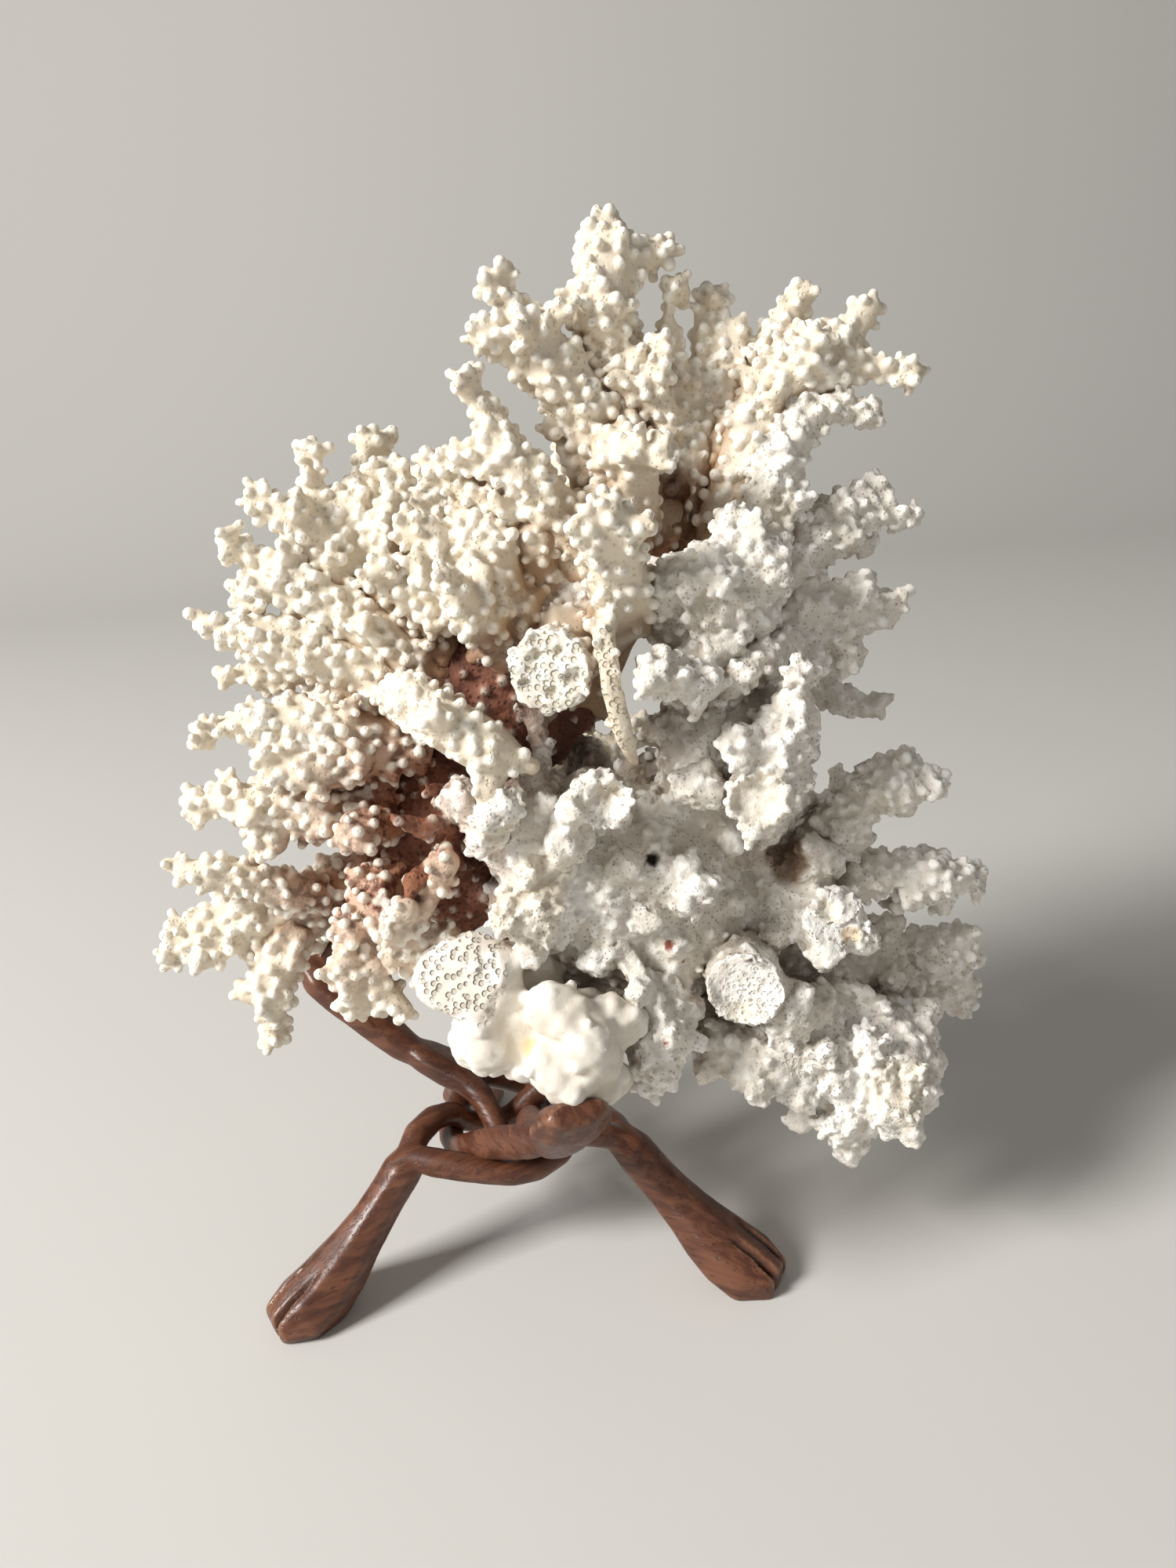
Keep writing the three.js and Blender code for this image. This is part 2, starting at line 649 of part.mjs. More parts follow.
      [[-4, 40, 216, 6], [6, 56, 226, 4.6], [8, 64, 238, 3.8]],
    ]),
  },
  back_upper_right: {
    finish: 'ivory',
    build: () => limbs([
      [[58, 14, 200, 12], [68, 32, 212, 9], [76, 46, 226, 7], [82, 56, 242, 4.4]],
      [[70, 36, 216, 6.5], [86, 40, 222, 5], [98, 44, 232, 3.8]],
      [[70, 40, 220, 6], [62, 56, 226, 4.6], [58, 64, 238, 3.8]],
    ]),
  },
  back_middle: {
    finish: 'ivory',
    build: () => limbs([
      [[28, 18, 172, 14], [28, 42, 180, 11], [30, 60, 192, 8], [31, 76, 206, 4.6]],
      [[28, 46, 182, 7], [14, 62, 190, 5.6], [4, 74, 202, 4]],
      [[30, 48, 184, 7], [44, 64, 186, 5.6], [56, 78, 194, 4]],
    ]),
  },
  back_left: {
    finish: 'ivory',
    build: () => limbs([
      [[-16, 14, 162, 12], [-34, 30, 168, 10], [-50, 42, 178, 7], [-64, 52, 190, 4.4]],
      [[-38, 34, 170, 6.5], [-46, 52, 166, 5], [-54, 66, 170, 3.8]],
      [[-42, 36, 174, 6], [-58, 32, 188, 5], [-70, 28, 200, 3.8]],
    ]),
  },
  back_right: {
    finish: 'chalk',
    build: () => limbs([
      [[74, 4, 160, 12], [90, 22, 168, 10], [104, 38, 172, 7], [117, 50, 180, 4.4]],
      [[94, 28, 170, 6.5], [92, 48, 178, 5], [92, 62, 188, 3.8]],
      [[98, 30, 170, 6], [112, 28, 160, 5], [126, 30, 156, 3.8]],
    ]),
  },
  back_low: {
    finish: 'ivory',
    build: () => limbs([
      [[22, 18, 132, 14], [24, 42, 134, 11], [26, 62, 142, 8], [28, 80, 154, 4.6]],
      [[24, 46, 136, 7], [8, 62, 136, 5.6], [-6, 76, 142, 4]],
      [[26, 50, 138, 7], [42, 68, 138, 5.6], [54, 82, 146, 4]],
    ]),
  },
  back_low_left: {
    finish: 'ivory',
    build: () => limbs([
      [[-20, 18, 134, 11], [-38, 38, 132, 9], [-54, 50, 136, 7], [-70, 60, 144, 4.4]],
      [[-42, 42, 132, 6], [-36, 60, 128, 5], [-34, 72, 132, 3.8]],
    ]),
  },
  back_low_right: {
    finish: 'chalk',
    build: () => limbs([
      [[70, 16, 114, 12], [88, 34, 110, 10], [104, 46, 114, 7], [118, 56, 122, 4.4]],
      [[90, 38, 110, 6.5], [82, 56, 112, 5], [80, 68, 120, 3.8]],
    ]),
  },
};

// Assembly

const group = new THREE.Group();
const neighbours = []; // every piece made so far, grown by the gap

function overlaps(a, b) {
  return a.min.every((low, axis) => low < b.max[axis] && b.min[axis] < a.max[axis]);
}

// Cuts a new solid clear of its neighbours and keeps its main body
function clearOf(whole) {
  const box = whole.boundingBox();
  const near = neighbours.filter((other) => overlaps(other.boundingBox(), box));
  const cut = near.reduce((rest, other) => rest.subtract(other), whole);
  const bodies = cut.decompose();
  return bodies.sort((a, b) => b.volume() - a.volume())[0];
}

function addMesh(name, finish, body) {
  const { vertProperties, triVerts } = body.getMesh();
  const geometry = new THREE.BufferGeometry();
  geometry.setAttribute('position', new THREE.BufferAttribute(new Float32Array(vertProperties), 3));
  geometry.setIndex(new THREE.BufferAttribute(new Uint32Array(triVerts), 1));
  geometry.computeVertexNormals();
  const mesh = new THREE.Mesh(geometry, new THREE.MeshStandardMaterial(FINISHES[finish]));
  mesh.name = name;
  group.add(mesh);
}

function addPiece(name, finish, whole) {
  addMesh(name, finish, clearOf(whole));
  neighbours.push(fatter(whole, GAP));
}

for (const [name, turn] of Object.entries(LEG_TURNS)) {
  addPiece(name, 'rosewood', leg(turn));
}

for (const [name, { finish, build, pits = [] }] of Object.entries(coral)) {
  const joined = soften(wasm.Manifold.union(build()), CORAL_EDGE_MIN);
  addPiece(name, finish, pits.reduce((rest, spot) => rest.subtract(knob(spot)), joined));
}

const box = new THREE.Box3().setFromObject(group);
const middle = box.getCenter(new THREE.Vector3());
group.position.set(-middle.x, -middle.y, -box.min.z);

export default group;
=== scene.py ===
"""Looks of a branching coral colony that rests in a stand of three interlinked carved wooden legs.

Places are in millimetres from the table point under the stand's middle, with X to the right, Y away from
the front and Z up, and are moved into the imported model's frame in metres by the functions at the top.
"""

import logging
import math
from dataclasses import dataclass, field
from enum import Enum

import bmesh
import bpy
import numpy as np
from mathutils import Matrix, Vector, kdtree
from mathutils.bvhtree import BVHTree


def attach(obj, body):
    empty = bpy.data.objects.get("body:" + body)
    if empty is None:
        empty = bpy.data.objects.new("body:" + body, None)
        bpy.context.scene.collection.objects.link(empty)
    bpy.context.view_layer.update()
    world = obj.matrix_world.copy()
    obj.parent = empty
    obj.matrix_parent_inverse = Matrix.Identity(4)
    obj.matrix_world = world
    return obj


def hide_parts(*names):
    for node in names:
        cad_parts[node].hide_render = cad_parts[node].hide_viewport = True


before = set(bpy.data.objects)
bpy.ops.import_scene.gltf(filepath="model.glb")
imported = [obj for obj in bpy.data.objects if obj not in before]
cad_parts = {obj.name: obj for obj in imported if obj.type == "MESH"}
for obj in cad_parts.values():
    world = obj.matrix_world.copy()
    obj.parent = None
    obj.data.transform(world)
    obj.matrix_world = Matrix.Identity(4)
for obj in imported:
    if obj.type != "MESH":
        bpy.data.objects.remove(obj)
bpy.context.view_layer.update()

LOG = logging.getLogger("coral")

MM = 0.001
TINY = 1e-12  # keeps a division by nothing from failing
STAND_MIDDLE = (-23.99, -5.33, 0.0)  # where the stand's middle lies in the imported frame
HEART = (20.0, 10.0, 150.0)  # the point that the colony grew out from

Station = tuple[float, float, float, float]  # x, y, z and radius


class Slot(Enum):
    """The record's material slots."""

    IVORY = "ivory_coral"
    CHALK = "chalk_coral"
    RUST = "rust_core"
    ROSEWOOD = "rosewood"


def placed(points: object) -> np.ndarray:
    """Moves places from the stand's middle, in millimetres, into the frame, in metres."""
    return (np.asarray(points, float) + np.array(STAND_MIDDLE)) * MM


# Forms as arrays


@dataclass
class Form:
    """A mesh as arrays of points, in metres, and of faces with three or four corners each."""

    points: np.ndarray
    faces: np.ndarray

    def triangles(self) -> np.ndarray:
        """Returns the faces as triangles.

        Returns:
            Three point numbers for each triangle.
        """
        if self.faces.shape[1] == 3:
            return self.faces
        return np.concatenate([self.faces[:, [0, 1, 2]], self.faces[:, [0, 2, 3]]])

    def mesh(self, name: str) -> bpy.types.Mesh:
        """Builds a Blender mesh.

        Args:
            name: The new mesh's name.

        Returns:
            The mesh.
        """
        mesh = bpy.data.meshes.new(name)
        corners = self.faces.shape[1]
        mesh.vertices.add(len(self.points))
        mesh.vertices.foreach_set("co", self.points.astype(np.float32).ravel())
        mesh.loops.add(self.faces.size)
        mesh.loops.foreach_set("vertex_index", self.faces.astype(np.int32).ravel())
        mesh.polygons.add(len(self.faces))
        mesh.polygons.foreach_set("loop_start", np.arange(0, self.faces.size, corners, dtype=np.int32))
        mesh.update(calc_edges=True)
        return mesh

    def corners(self) -> list[np.ndarray]:
        """Returns the first, second and third corner of each triangle."""
        return [self.points[column] for column in self.triangles().T]

    def gathered(self, values: np.ndarray) -> np.ndarray:
        """Sums up at each point the values of the triangles round it."""
        return sum(np.bincount(column, values, len(self.points)) for column in self.triangles().T)

    def normals(self) -> np.ndarray:
        """Returns the way that the surface faces at each point.

        Returns:
            A unit vector for each.
        """
        a, b, c = self.corners()
        total = np.stack([self.gathered(across) for across in np.cross(b - a, c - a).T], axis=1)
        return total / np.maximum(np.linalg.norm(total, axis=1, keepdims=True), TINY)


def form_of(mesh: bpy.types.Mesh) -> Form:
    """Reads a mesh whose faces all have the same number of corners.

    Args:
        mesh: The mesh.

    Returns:
        Its form, in metres.
    """
    points = np.zeros(len(mesh.vertices) * 3, np.float32)
    mesh.vertices.foreach_get("co", points)
    corners = np.zeros(len(mesh.loops), np.int32)
    mesh.loops.foreach_get("vertex_index", corners)
    return Form(points.reshape(-1, 3).astype(float), corners.reshape(len(mesh.polygons), -1))


def node_form(node: str) -> Form:
    """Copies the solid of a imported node.

    Args:
        node: The node's name.

    Returns:
        The solid's form, in triangles.
    """
    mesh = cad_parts[node].data
    mesh.calc_loop_triangles()
    tris = np.zeros(len(mesh.loop_triangles) * 3, np.int32)
    mesh.loop_triangles.foreach_get("vertices", tris)
    points = np.zeros(len(mesh.vertices) * 3, np.float32)
    mesh.vertices.foreach_get("co", points)
    return Form(points.reshape(-1, 3).astype(float), tris.reshape(-1, 3))


def joined(forms: list[Form]) -> Form:
    """Puts several forms together in one, as triangles.

    Args:
        forms: The forms.

    Returns:
        One form of them all.
    """
    starts = np.cumsum([0] + [len(form.points) for form in forms])
    faces = [form.triangles() + start for form, start in zip(forms, starts)]
    return Form(np.concatenate([form.points for form in forms]), np.concatenate(faces))


def unit_ball() -> Form:
    """Makes the small ball that knobs and twigs are strung from.

    Returns:
        A ball with a radius of one.
    """
    shape = bmesh.new()
    bmesh.ops.create_icosphere(shape, subdivisions=2, radius=1.0)
    points = np.array([vertex.co[:] for vertex in shape.verts])
    faces = np.array([[vertex.index for vertex in face.verts] for face in shape.faces])
    shape.free()
    return Form(points, faces)


BALL = unit_ball()
STRING_STEP = 0.45  # how far apart strung balls lie, beside the least of their radii
SPOT_TRIES = 5  # how many spots are tried for each that has room
FEWEST_TRIES = 8


def balls(
    centres: np.ndarray, radii: np.ndarray, ways: np.ndarray | None = None, stretch: np.ndarray | None = None
) -> Form:
    """Makes a crowd of balls.

    Args:
        centres: Their centres, in metres.
        radii: Their radii, in metres.
        ways: A unit vector for each, along which it is drawn out.
        stretch: How many times longer than wide each is.

    Returns:
        All of them in one form.
    """
    points = BALL.points[None] * radii[:, None, None]
    if stretch is not None:
        along = (points * ways[:, None]).sum(2, keepdims=True)
        points = points + ways[:, None] * along * (stretch - 1.0)[:, None, None]
    points = points + centres[:, None]
    faces = BALL.faces[None] + (np.arange(len(centres)) * len(BALL.points))[:, None, None]
    return Form(points.reshape(-1, 3), faces.reshape(-1, 3))


def strung(points: np.ndarray, radii: np.ndarray) -> Form:
    """Strings balls along a path, as a small limb with round ends.

    Args:
        points: Places along the path, in metres.
        radii: The limb's radius at each, in metres.

    Returns:
        The limb's form, to be fused to what it grows from.
    """
    reach = np.concatenate([[0], np.cumsum(np.linalg.norm(np.diff(points, axis=0), axis=1))])
    spots = np.linspace(0, reach[-1], max(3, int(reach[-1] / (radii.min() * STRING_STEP))))
    centres = np.stack([np.interp(spots, reach, column) for column in points.T], axis=1)
    return balls(centres, np.interp(spots, reach, radii))


@dataclass(frozen=True)
class Relief:
    """An uneven surface, as a procedural texture that moves it in and out."""

    kind: str
    size: float  # of one lump, in millimetres
    depth: float  # in millimetres


def relief_texture(relief: Relief) -> bpy.types.Texture:
    """Returns the procedural texture of a relief, made once.

    Args:
        relief: The relief.

    Returns:
        Its texture.
    """
    name = f"{relief.kind.lower()}_{relief.size:g}"
    texture = bpy.data.textures.get(name) or bpy.data.textures.new(name, relief.kind)
    texture.noise_scale = relief.size * MM
    return texture


def worked(form: Form, steps: list[tuple[str, dict]]) -> Form:
    """Puts a form through Blender's modifiers.

    Args:
        form: The form.
        steps: Each modifier's kind with its settings, in order.

    Returns:
        The form that comes out.
    """
    piece = bpy.data.objects.new("working", form.mesh("working"))
    bpy.context.scene.collection.objects.link(piece)
    for kind, settings in steps:
        step = piece.modifiers.new(kind.lower(), kind)
        for key, value in settings.items():
            setattr(step, key, value)
    depsgraph = bpy.context.evaluated_depsgraph_get()
    result = bpy.data.meshes.new_from_object(piece.evaluated_get(depsgraph))
    done = form_of(result)
    raw = piece.data
    bpy.data.objects.remove(piece)
    bpy.data.meshes.remove(raw)
    bpy.data.meshes.remove(result)
    return done


def thinning(kept: float) -> tuple[str, dict]:
    """Returns the modifier that keeps a share of a form's faces, the flattest going first."""
    return "DECIMATE", {"ratio": kept, "use_collapse_triangulate": True}


def fused(
    form: Form,
    voxel: float,
    smoothing: int,
    swell: float = 0.0,
    reliefs: tuple[Relief, ...] = (),
    kept: float = 1.0,
) -> Form:
    """Grows overlapping forms together into one closed skin.

    Args:
        form: The overlapping closed forms.
        voxel: The size of the skin's faces, in millimetres.
        smoothing: How many times it is smoothed.
        swell: How far it is moved out afterwards, in millimetres.
        reliefs: Unevenness that is pressed into it.
        kept: The share of its faces that is kept, the flattest going first.

    Returns:
        The skin, with four corners to a face, or three where it was thinned.
    """
    steps = [("REMESH", {"mode": "VOXEL", "voxel_size": voxel * MM})]
    if smoothing:
        steps.append(("SMOOTH", {"factor": 0.5, "iterations": smoothing}))
    if swell:
        steps.append(("DISPLACE", {"strength": swell * MM, "mid_level": 0.0}))
    for relief in reliefs:
        texture = {"texture": relief_texture(relief), "texture_coords": "GLOBAL"}
        steps.append(("DISPLACE", {**texture, "strength": relief.depth * MM, "mid_level": 0.5}))
    if kept < 1.0:
        steps.append(thinning(kept))
    return worked(form, steps)


def largest(form: Form) -> Form:
    """Keeps the largest connected piece of a form.

    Args:
        form: The form.

    Returns:
        The form without its loose crumbs.
    """
    label = np.arange(len(form.points))
    while True:
        low = label[form.faces].min(axis=1)
        new = label.copy()
        for corner in range(form.faces.shape[1]):
            np.minimum.at(new, form.faces[:, corner], low)
        new = new[new]
        if (new == label).all():
            break
        label = new
    main = label == np.bincount(label[form.faces[:, 0]]).argmax()
    place = np.cumsum(main) - 1
    return Form(form.points[main], place[form.faces[main[form.faces[:, 0]]]])


def scattered(form: Form, spacing: float, seed: int) -> tuple[np.ndarray, np.ndarray]:
    """Picks spots on a surface that keep a distance from each other.

    Args:
        form: The surface.
        spacing: The least distance between two spots, in millimetres.
        seed: Which scatter it is.

    Returns:
        The spots and the surface's normals there.
    """
    chance = np.random.default_rng(seed)
    a, b, c = form.corners()
    areas = np.linalg.norm(np.cross(b - a, c - a), axis=1)
    count = int(areas.sum() / 2 / (spacing * MM) ** 2 * SPOT_TRIES) + FEWEST_TRIES
    chosen = chance.choice(len(areas), count, p=areas / areas.sum())
    u, v = chance.random(count), chance.random(count)
    flip = u + v > 1
    u[flip], v[flip] = 1 - u[flip], 1 - v[flip]
    spots = a[chosen] + (b - a)[chosen] * u[:, None] + (c - a)[chosen] * v[:, None]
    tree = kdtree.KDTree(count)
    for index, spot in enumerate(spots):
        tree.insert(spot, index)
    tree.balance()
    free = np.ones(count, bool)
    kept = []
    for index in range(count):
        if free[index]:
            kept.append(index)
            for _, other, _ in tree.find_range(spots[index], spacing * MM):
                free[other] = False
    normals = form.normals()[form.triangles()[chosen[kept]]].mean(axis=1)
    return spots[kept], normals / np.linalg.norm(normals, axis=1, keepdims=True)


@dataclass(frozen=True)
class Sight:
    """The photograph's viewpoint, with the sight lines through its pixels."""

    eye: tuple[float, float, float] = (31.3, -350.0, 272.0)
    pitch: float = 19.2  # how far it looks down, in degrees
    roll: float = 4.66
    lens: float = 29.12
    sensor: float = 36.0
    wide: float = 1500.0  # the photograph's size, in pixels
    high: float = 2000.0

    def axes(self) -> tuple[Vector, Vector, Vector]:
        """Returns the ways to the photograph's right, up and ahead.

        Returns:
            Three unit vectors.
        """
        down, roll = math.radians(self.pitch), math.radians(self.roll)
        ahead = Vector((0, math.cos(down), -math.sin(down)))
        level, upright = Vector((1, 0, 0)), Vector((0, math.sin(down), math.cos(down)))
        right = level * math.cos(roll) - upright * math.sin(roll)
        return right, level * math.sin(roll) + upright * math.cos(roll), ahead

    def line(self, across: float, down: float) -> tuple[Vector, Vector]:
        """Returns where the sight line through a pixel starts, and its way.

        Args:
            across: The pixel's place across the photograph.
            down: Its place down it.

        Returns:
            The start, in metres, and a unit vector.
        """
        right, up, ahead = self.axes()
        focal = self.lens / self.sensor * self.high
        way = ahead + right * ((across - self.wide / 2) / focal) + up * ((self.high / 2 - down) / focal)
        return Vector(placed(self.eye)), way.normalized()

    def at_depth(self, across: float, down: float, depth: float) -> Vector:
        """Returns the place on a pixel's sight line that has a given Y in the frame."""
        start, way = self.line(across, down)
        return start + way * ((depth - start.y) / way.y)


class Colony:
    """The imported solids, to find what lies beside or behind a place."""

    def __init__(self) -> None:
        """Gathers the solids in one searchable tree."""
        self.forms = {name: node_form(name) for name in sorted(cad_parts)}
        self.tree = self.tree_of(self.forms)
        self.owner = [name for name, form in self.forms.items() for _ in form.triangles()]

    def tree_of(self, forms: dict[str, Form]) -> BVHTree:
        """Puts some solids in a searchable tree."""
        whole = joined(list(forms.values()))
        return BVHTree.FromPolygons(whole.points.tolist(), whole.triangles().tolist())

    def others(self, node: str) -> BVHTree:
        """Returns every solid but one, as a searchable tree."""
        return self.tree_of({name: form for name, form in self.forms.items() if name != node})

    def behind(self, across: float, down: float) -> tuple[str, Vector | None]:
        """Returns the first node on a pixel's sight line and the place, or no name and no place."""
        spot, _, index, _ = self.tree.ray_cast(*SIGHT.line(across, down))
        return ("", None) if spot is None else (self.owner[index], spot)

    def barred(self, start: Vector, way: Vector) -> bool:
        """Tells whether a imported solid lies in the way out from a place."""
        return self.tree.ray_cast(start, way, SHELTER_REACH * MM)[0] is not None

    def shelter(self, form: Form) -> np.ndarray:
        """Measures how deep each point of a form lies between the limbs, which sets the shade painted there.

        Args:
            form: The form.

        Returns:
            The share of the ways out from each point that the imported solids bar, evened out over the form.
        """
        normals = form.normals()
        steps = np.arange(SHELTER_WAYS) + 0.5
        turn, up = steps * math.pi * (3 - math.sqrt(5)), 1 - 2 * steps / SHELTER_WAYS
        flat = np.sqrt(1 - up ** 2)
        ways = np.stack([flat * np.cos(turn), flat * np.sin(turn), up], axis=1)
        open_to = normals @ ways.T > SHELTER_FACING
        share = np.zeros(len(form.points))
        for index, start in enumerate(form.points + normals * SHELTER_START * MM):
            hits = [self.barred(Vector(start), Vector(way)) for way in ways[open_to[index]]]
            share[index] = sum(hits) / max(len(hits), 1)
        tris = form.triangles()
        count = np.maximum(form.gathered(np.ones(len(tris))), 1)
        for _ in range(SHELTER_ROUNDS):
            share = form.gathered(share[tris].mean(axis=1)) / count
        return share


# These set how the painted shade between the limbs is measured.
SHELTER_WAYS = 18
SHELTER_FACING = 0.25  # how nearly straight out a way has to point to be looked along
SHELTER_ROUNDS = 3  # how many times the share is evened out
SHELTER_VOXEL = 2.0  # the size of the faces that it is measured on, in millimetres
SHELTER_START = 2.4  # how far off the surface the look out starts, in millimetres
SHELTER_REACH = 45.0  # how far it goes, in millimetres
SIGHT = Sight()
COLONY = Colony()


# Finishes


class Nodes:
    """Places shader nodes in one node tree and joins their sockets."""

    def __init__(self, tree: bpy.types.NodeTree) -> None:
        """Starts on a tree."""
        self.tree = tree

    def add(self, kind: str, settings: dict | None = None, **inputs: object) -> bpy.types.Node:
        """Adds a node.

        Args:
            kind: The node's Blender type.
            settings: Its own properties.
            **inputs: A value, or a socket to join, for each input socket, with _ for a space.

        Returns:
            The node.
        """
        node = self.tree.nodes.new(kind)
        for key, value in (settings or {}).items():
            setattr(node, key, value)
        for key, value in inputs.items():
            self.feed(node.inputs[key.replace("_", " ")], value)
        return node

    def feed(self, socket: bpy.types.NodeSocket, value: object) -> None:
        """Joins a socket to another, or sets its value.

        Args:
            socket: The input socket.
            value: A value, or a socket to join it to.
        """
        if isinstance(value, bpy.types.NodeSocket):
            self.tree.links.new(value, socket)
        else:
            socket.default_value = value

    def math(self, operation: str, *values: object) -> bpy.types.NodeSocket:
        """Adds a sum of two or three values and returns its result.

        Args:
            operation: The sum's Blender name.
            *values: The values, or sockets that give them.

        Returns:
            The result's socket.
        """
        node = self.tree.nodes.new("ShaderNodeMath")
        node.operation = operation
        for socket, value in zip(node.inputs, values):
            self.feed(socket, value)
        return node.outputs[0]

    def times(self, first: object, *others: object) -> bpy.types.NodeSocket:
        """Multiplies values and returns the result.

        Args:
            first: The first value, or its socket.
            *others: The others.

        Returns:
            The result's socket.
        """
        for other in others:
            first = self.math("MULTIPLY", first, other)
        return first

    def read(self, name: str) -> bpy.types.NodeSocket:
        """Reads a measure that was taken at each point of a piece."""
        return self.add("ShaderNodeAttribute", {"attribute_name": name}).outputs["Fac"]

    def effect(self, group: bpy.types.NodeTree, place: object, **inputs: object) -> bpy.types.Node:
        """Places a shared effect, laid out over a place."""
        return self.add("ShaderNodeGroup", {"node_tree": group}, Vector=place, **inputs)

    def relief(self, height: object, strength: float, distance: float) -> bpy.types.NodeSocket:
        """Turns heights into a normal."""
        bump = self.add("ShaderNodeBump", Strength=strength, Distance=distance, Height=height)
        return bump.outputs["Normal"]

    def ramp(
        self, value: object, low: object, high: object, start: float = 0.0, end: float = 1.0
    ) -> bpy.types.NodeSocket:
        """Adds a smooth step of a value.

        Args:
            value: The value, from low to high.
            low: Where the step starts.
            high: Where it ends.
            start: The result at the start.
            end: The result at the end.

        Returns:
            The result's socket.
        """
        node = self.tree.nodes.new("ShaderNodeMapRange")
        node.interpolation_type = "SMOOTHSTEP"
        for index, number in enumerate((value, low, high, start, end)):
            self.feed(node.inputs[index], number)
        return node.outputs[0]

    def mix(self, share: object, first: object, second: object, blend: str = "MIX") -> bpy.types.NodeSocket:
        """Mixes two colours by a share and returns the result.

        Args:
            share: How much there is of the second.
            first: The first colour.
            second: The second colour.
            blend: How they are mixed.

        Returns:
            The result's socket.
        """
        node = self.tree.nodes.new("ShaderNodeMix")
        node.data_type, node.blend_type = "RGBA", blend
        self.feed(node.inputs[0], share)
        self.feed(node.inputs[6], first)
        self.feed(node.inputs[7], second)
        return node.outputs[2]


Colour = tuple[float, float, float, float]


def tone(red: int, green: int, blue: int) -> Colour:
    """Turns a colour as it is seen, from 0 to 255, into the light it sends back."""
    return tuple((value / 255) ** 2.2 for value in (red, green, blue)) + (1.0,)


def new_group(
    name: str, numbers: dict[str, float], masks: tuple[str, ...]
) -> tuple[Nodes, bpy.types.Node, bpy.types.Node]:
    """Makes a shader node group that has its inputs and outputs and nothing between them.

    Args:
        name: The group's name.
        numbers: Each number that it takes beside the place, with its usual value.
        masks: What it puts out.

    Returns:
        Its nodes, its input node and its output node.
    """
    tree = bpy.data.node_groups.new(name, "ShaderNodeTree")
    tree.interface.new_socket("Vector", in_out="INPUT", socket_type="NodeSocketVector")
    for label, value in numbers.items():
        socket = tree.interface.new_socket(label, in_out="INPUT", socket_type="NodeSocketFloat")
        socket.default_value = value
    for label in masks:
        tree.interface.new_socket(label, in_out="OUTPUT", socket_type="NodeSocketFloat")
    return Nodes(tree), tree.nodes.new("NodeGroupInput"), tree.nodes.new("NodeGroupOutput")


def pores_group() -> bpy.types.NodeTree:
    """Makes the small round cups that cover a coral skeleton.

    Returns:
        A group that puts out a mask of the cups and their height.
    """
    numbers = {"Per Metre": 600.0, "Width": 0.36, "Patchiness": 0.5}
    nodes, start, end = new_group("coral_pores", numbers, ("Pore", "Height"))
    place, fine, width, patchiness = start.outputs[:4]
    cells = nodes.add("ShaderNodeTexVoronoi", Vector=place, Scale=fine, Randomness=0.75)
    patches = nodes.add("ShaderNodeTexNoise", Vector=place, Scale=90.0, Detail=2.0)
    bare = nodes.math("SUBTRACT", nodes.ramp(patches.outputs[0], 0.35, 0.6), 1.0)
    cover = nodes.math("MULTIPLY_ADD", bare, patchiness, 1.0)
    cup = nodes.ramp(cells.outputs["Distance"], nodes.times(width, 0.55), width, 1.0, 0.0)
    pore = nodes.times(cup, cover)
    nodes.feed(end.inputs["Pore"], pore)
    nodes.feed(end.inputs["Height"], nodes.math("SUBTRACT", 1.0, pore))
    return nodes.tree


def mottle_group() -> bpy.types.NodeTree:
    """Makes soft uneven patches.

    Returns:
        A group that puts out how strong a patch is.
    """
    nodes, start, end = new_group("mottle", {"Per Metre": 60.0}, ("Patch",))
    place, fine = start.outputs[:2]
    noise = nodes.add("ShaderNodeTexNoise", Vector=place, Scale=fine, Detail=5.0, Roughness=0.6)
    nodes.feed(end.inputs["Patch"], nodes.ramp(noise.outputs[0], 0.4, 0.65))
    return nodes.tree


def specks_group() -> bpy.types.NodeTree:
    """Makes a few small scattered specks.

    Returns:
        A group that puts out a mask of the specks.
    """
    numbers = {"Per Metre": 150.0, "Width": 0.12, "Share": 0.2}
    nodes, start, end = new_group("specks", numbers, ("Speck",))
    place, fine, width, share = start.outputs[:4]
    cells = nodes.add("ShaderNodeTexVoronoi", Vector=place, Scale=fine)
    luck = nodes.add("ShaderNodeSeparateColor", Color=cells.outputs["Color"])
    chosen = nodes.math("LESS_THAN", luck.outputs[0], share)
    dot = nodes.ramp(cells.outputs["Distance"], nodes.times(width, 0.7), width, 1.0, 0.0)
    nodes.feed(end.inputs["Speck"], nodes.times(chosen, dot))
    return nodes.tree


def grain_group() -> bpy.types.NodeTree:
    """Makes long streaks of wood grain.

    Returns:
        A group that puts out the streaks and fine open pores of the wood.
    """
    nodes, start, end = new_group("wood_grain", {"Per Metre": 200.0}, ("Streak", "Pore"))
    place, fine = start.outputs[:2]
    streaks = nodes.add("ShaderNodeTexNoise", Vector=place, Scale=fine, Detail=4.0, Distortion=0.6)
    pores = nodes.add("ShaderNodeTexNoise", Vector=place, Scale=nodes.times(fine, 4.0), Detail=2.0)
    nodes.feed(end.inputs["Streak"], nodes.ramp(streaks.outputs[0], 0.35, 0.68))
    nodes.feed(end.inputs["Pore"], nodes.ramp(pores.outputs[0], 0.6, 0.7))
    return nodes.tree


class Effects:
    """The node groups that several finishes share, each built once."""

    def __init__(self) -> None:
        """Builds the groups."""
        self.pores = pores_group()
        self.mottle = mottle_group()
        self.specks = specks_group()
        self.grain = grain_group()


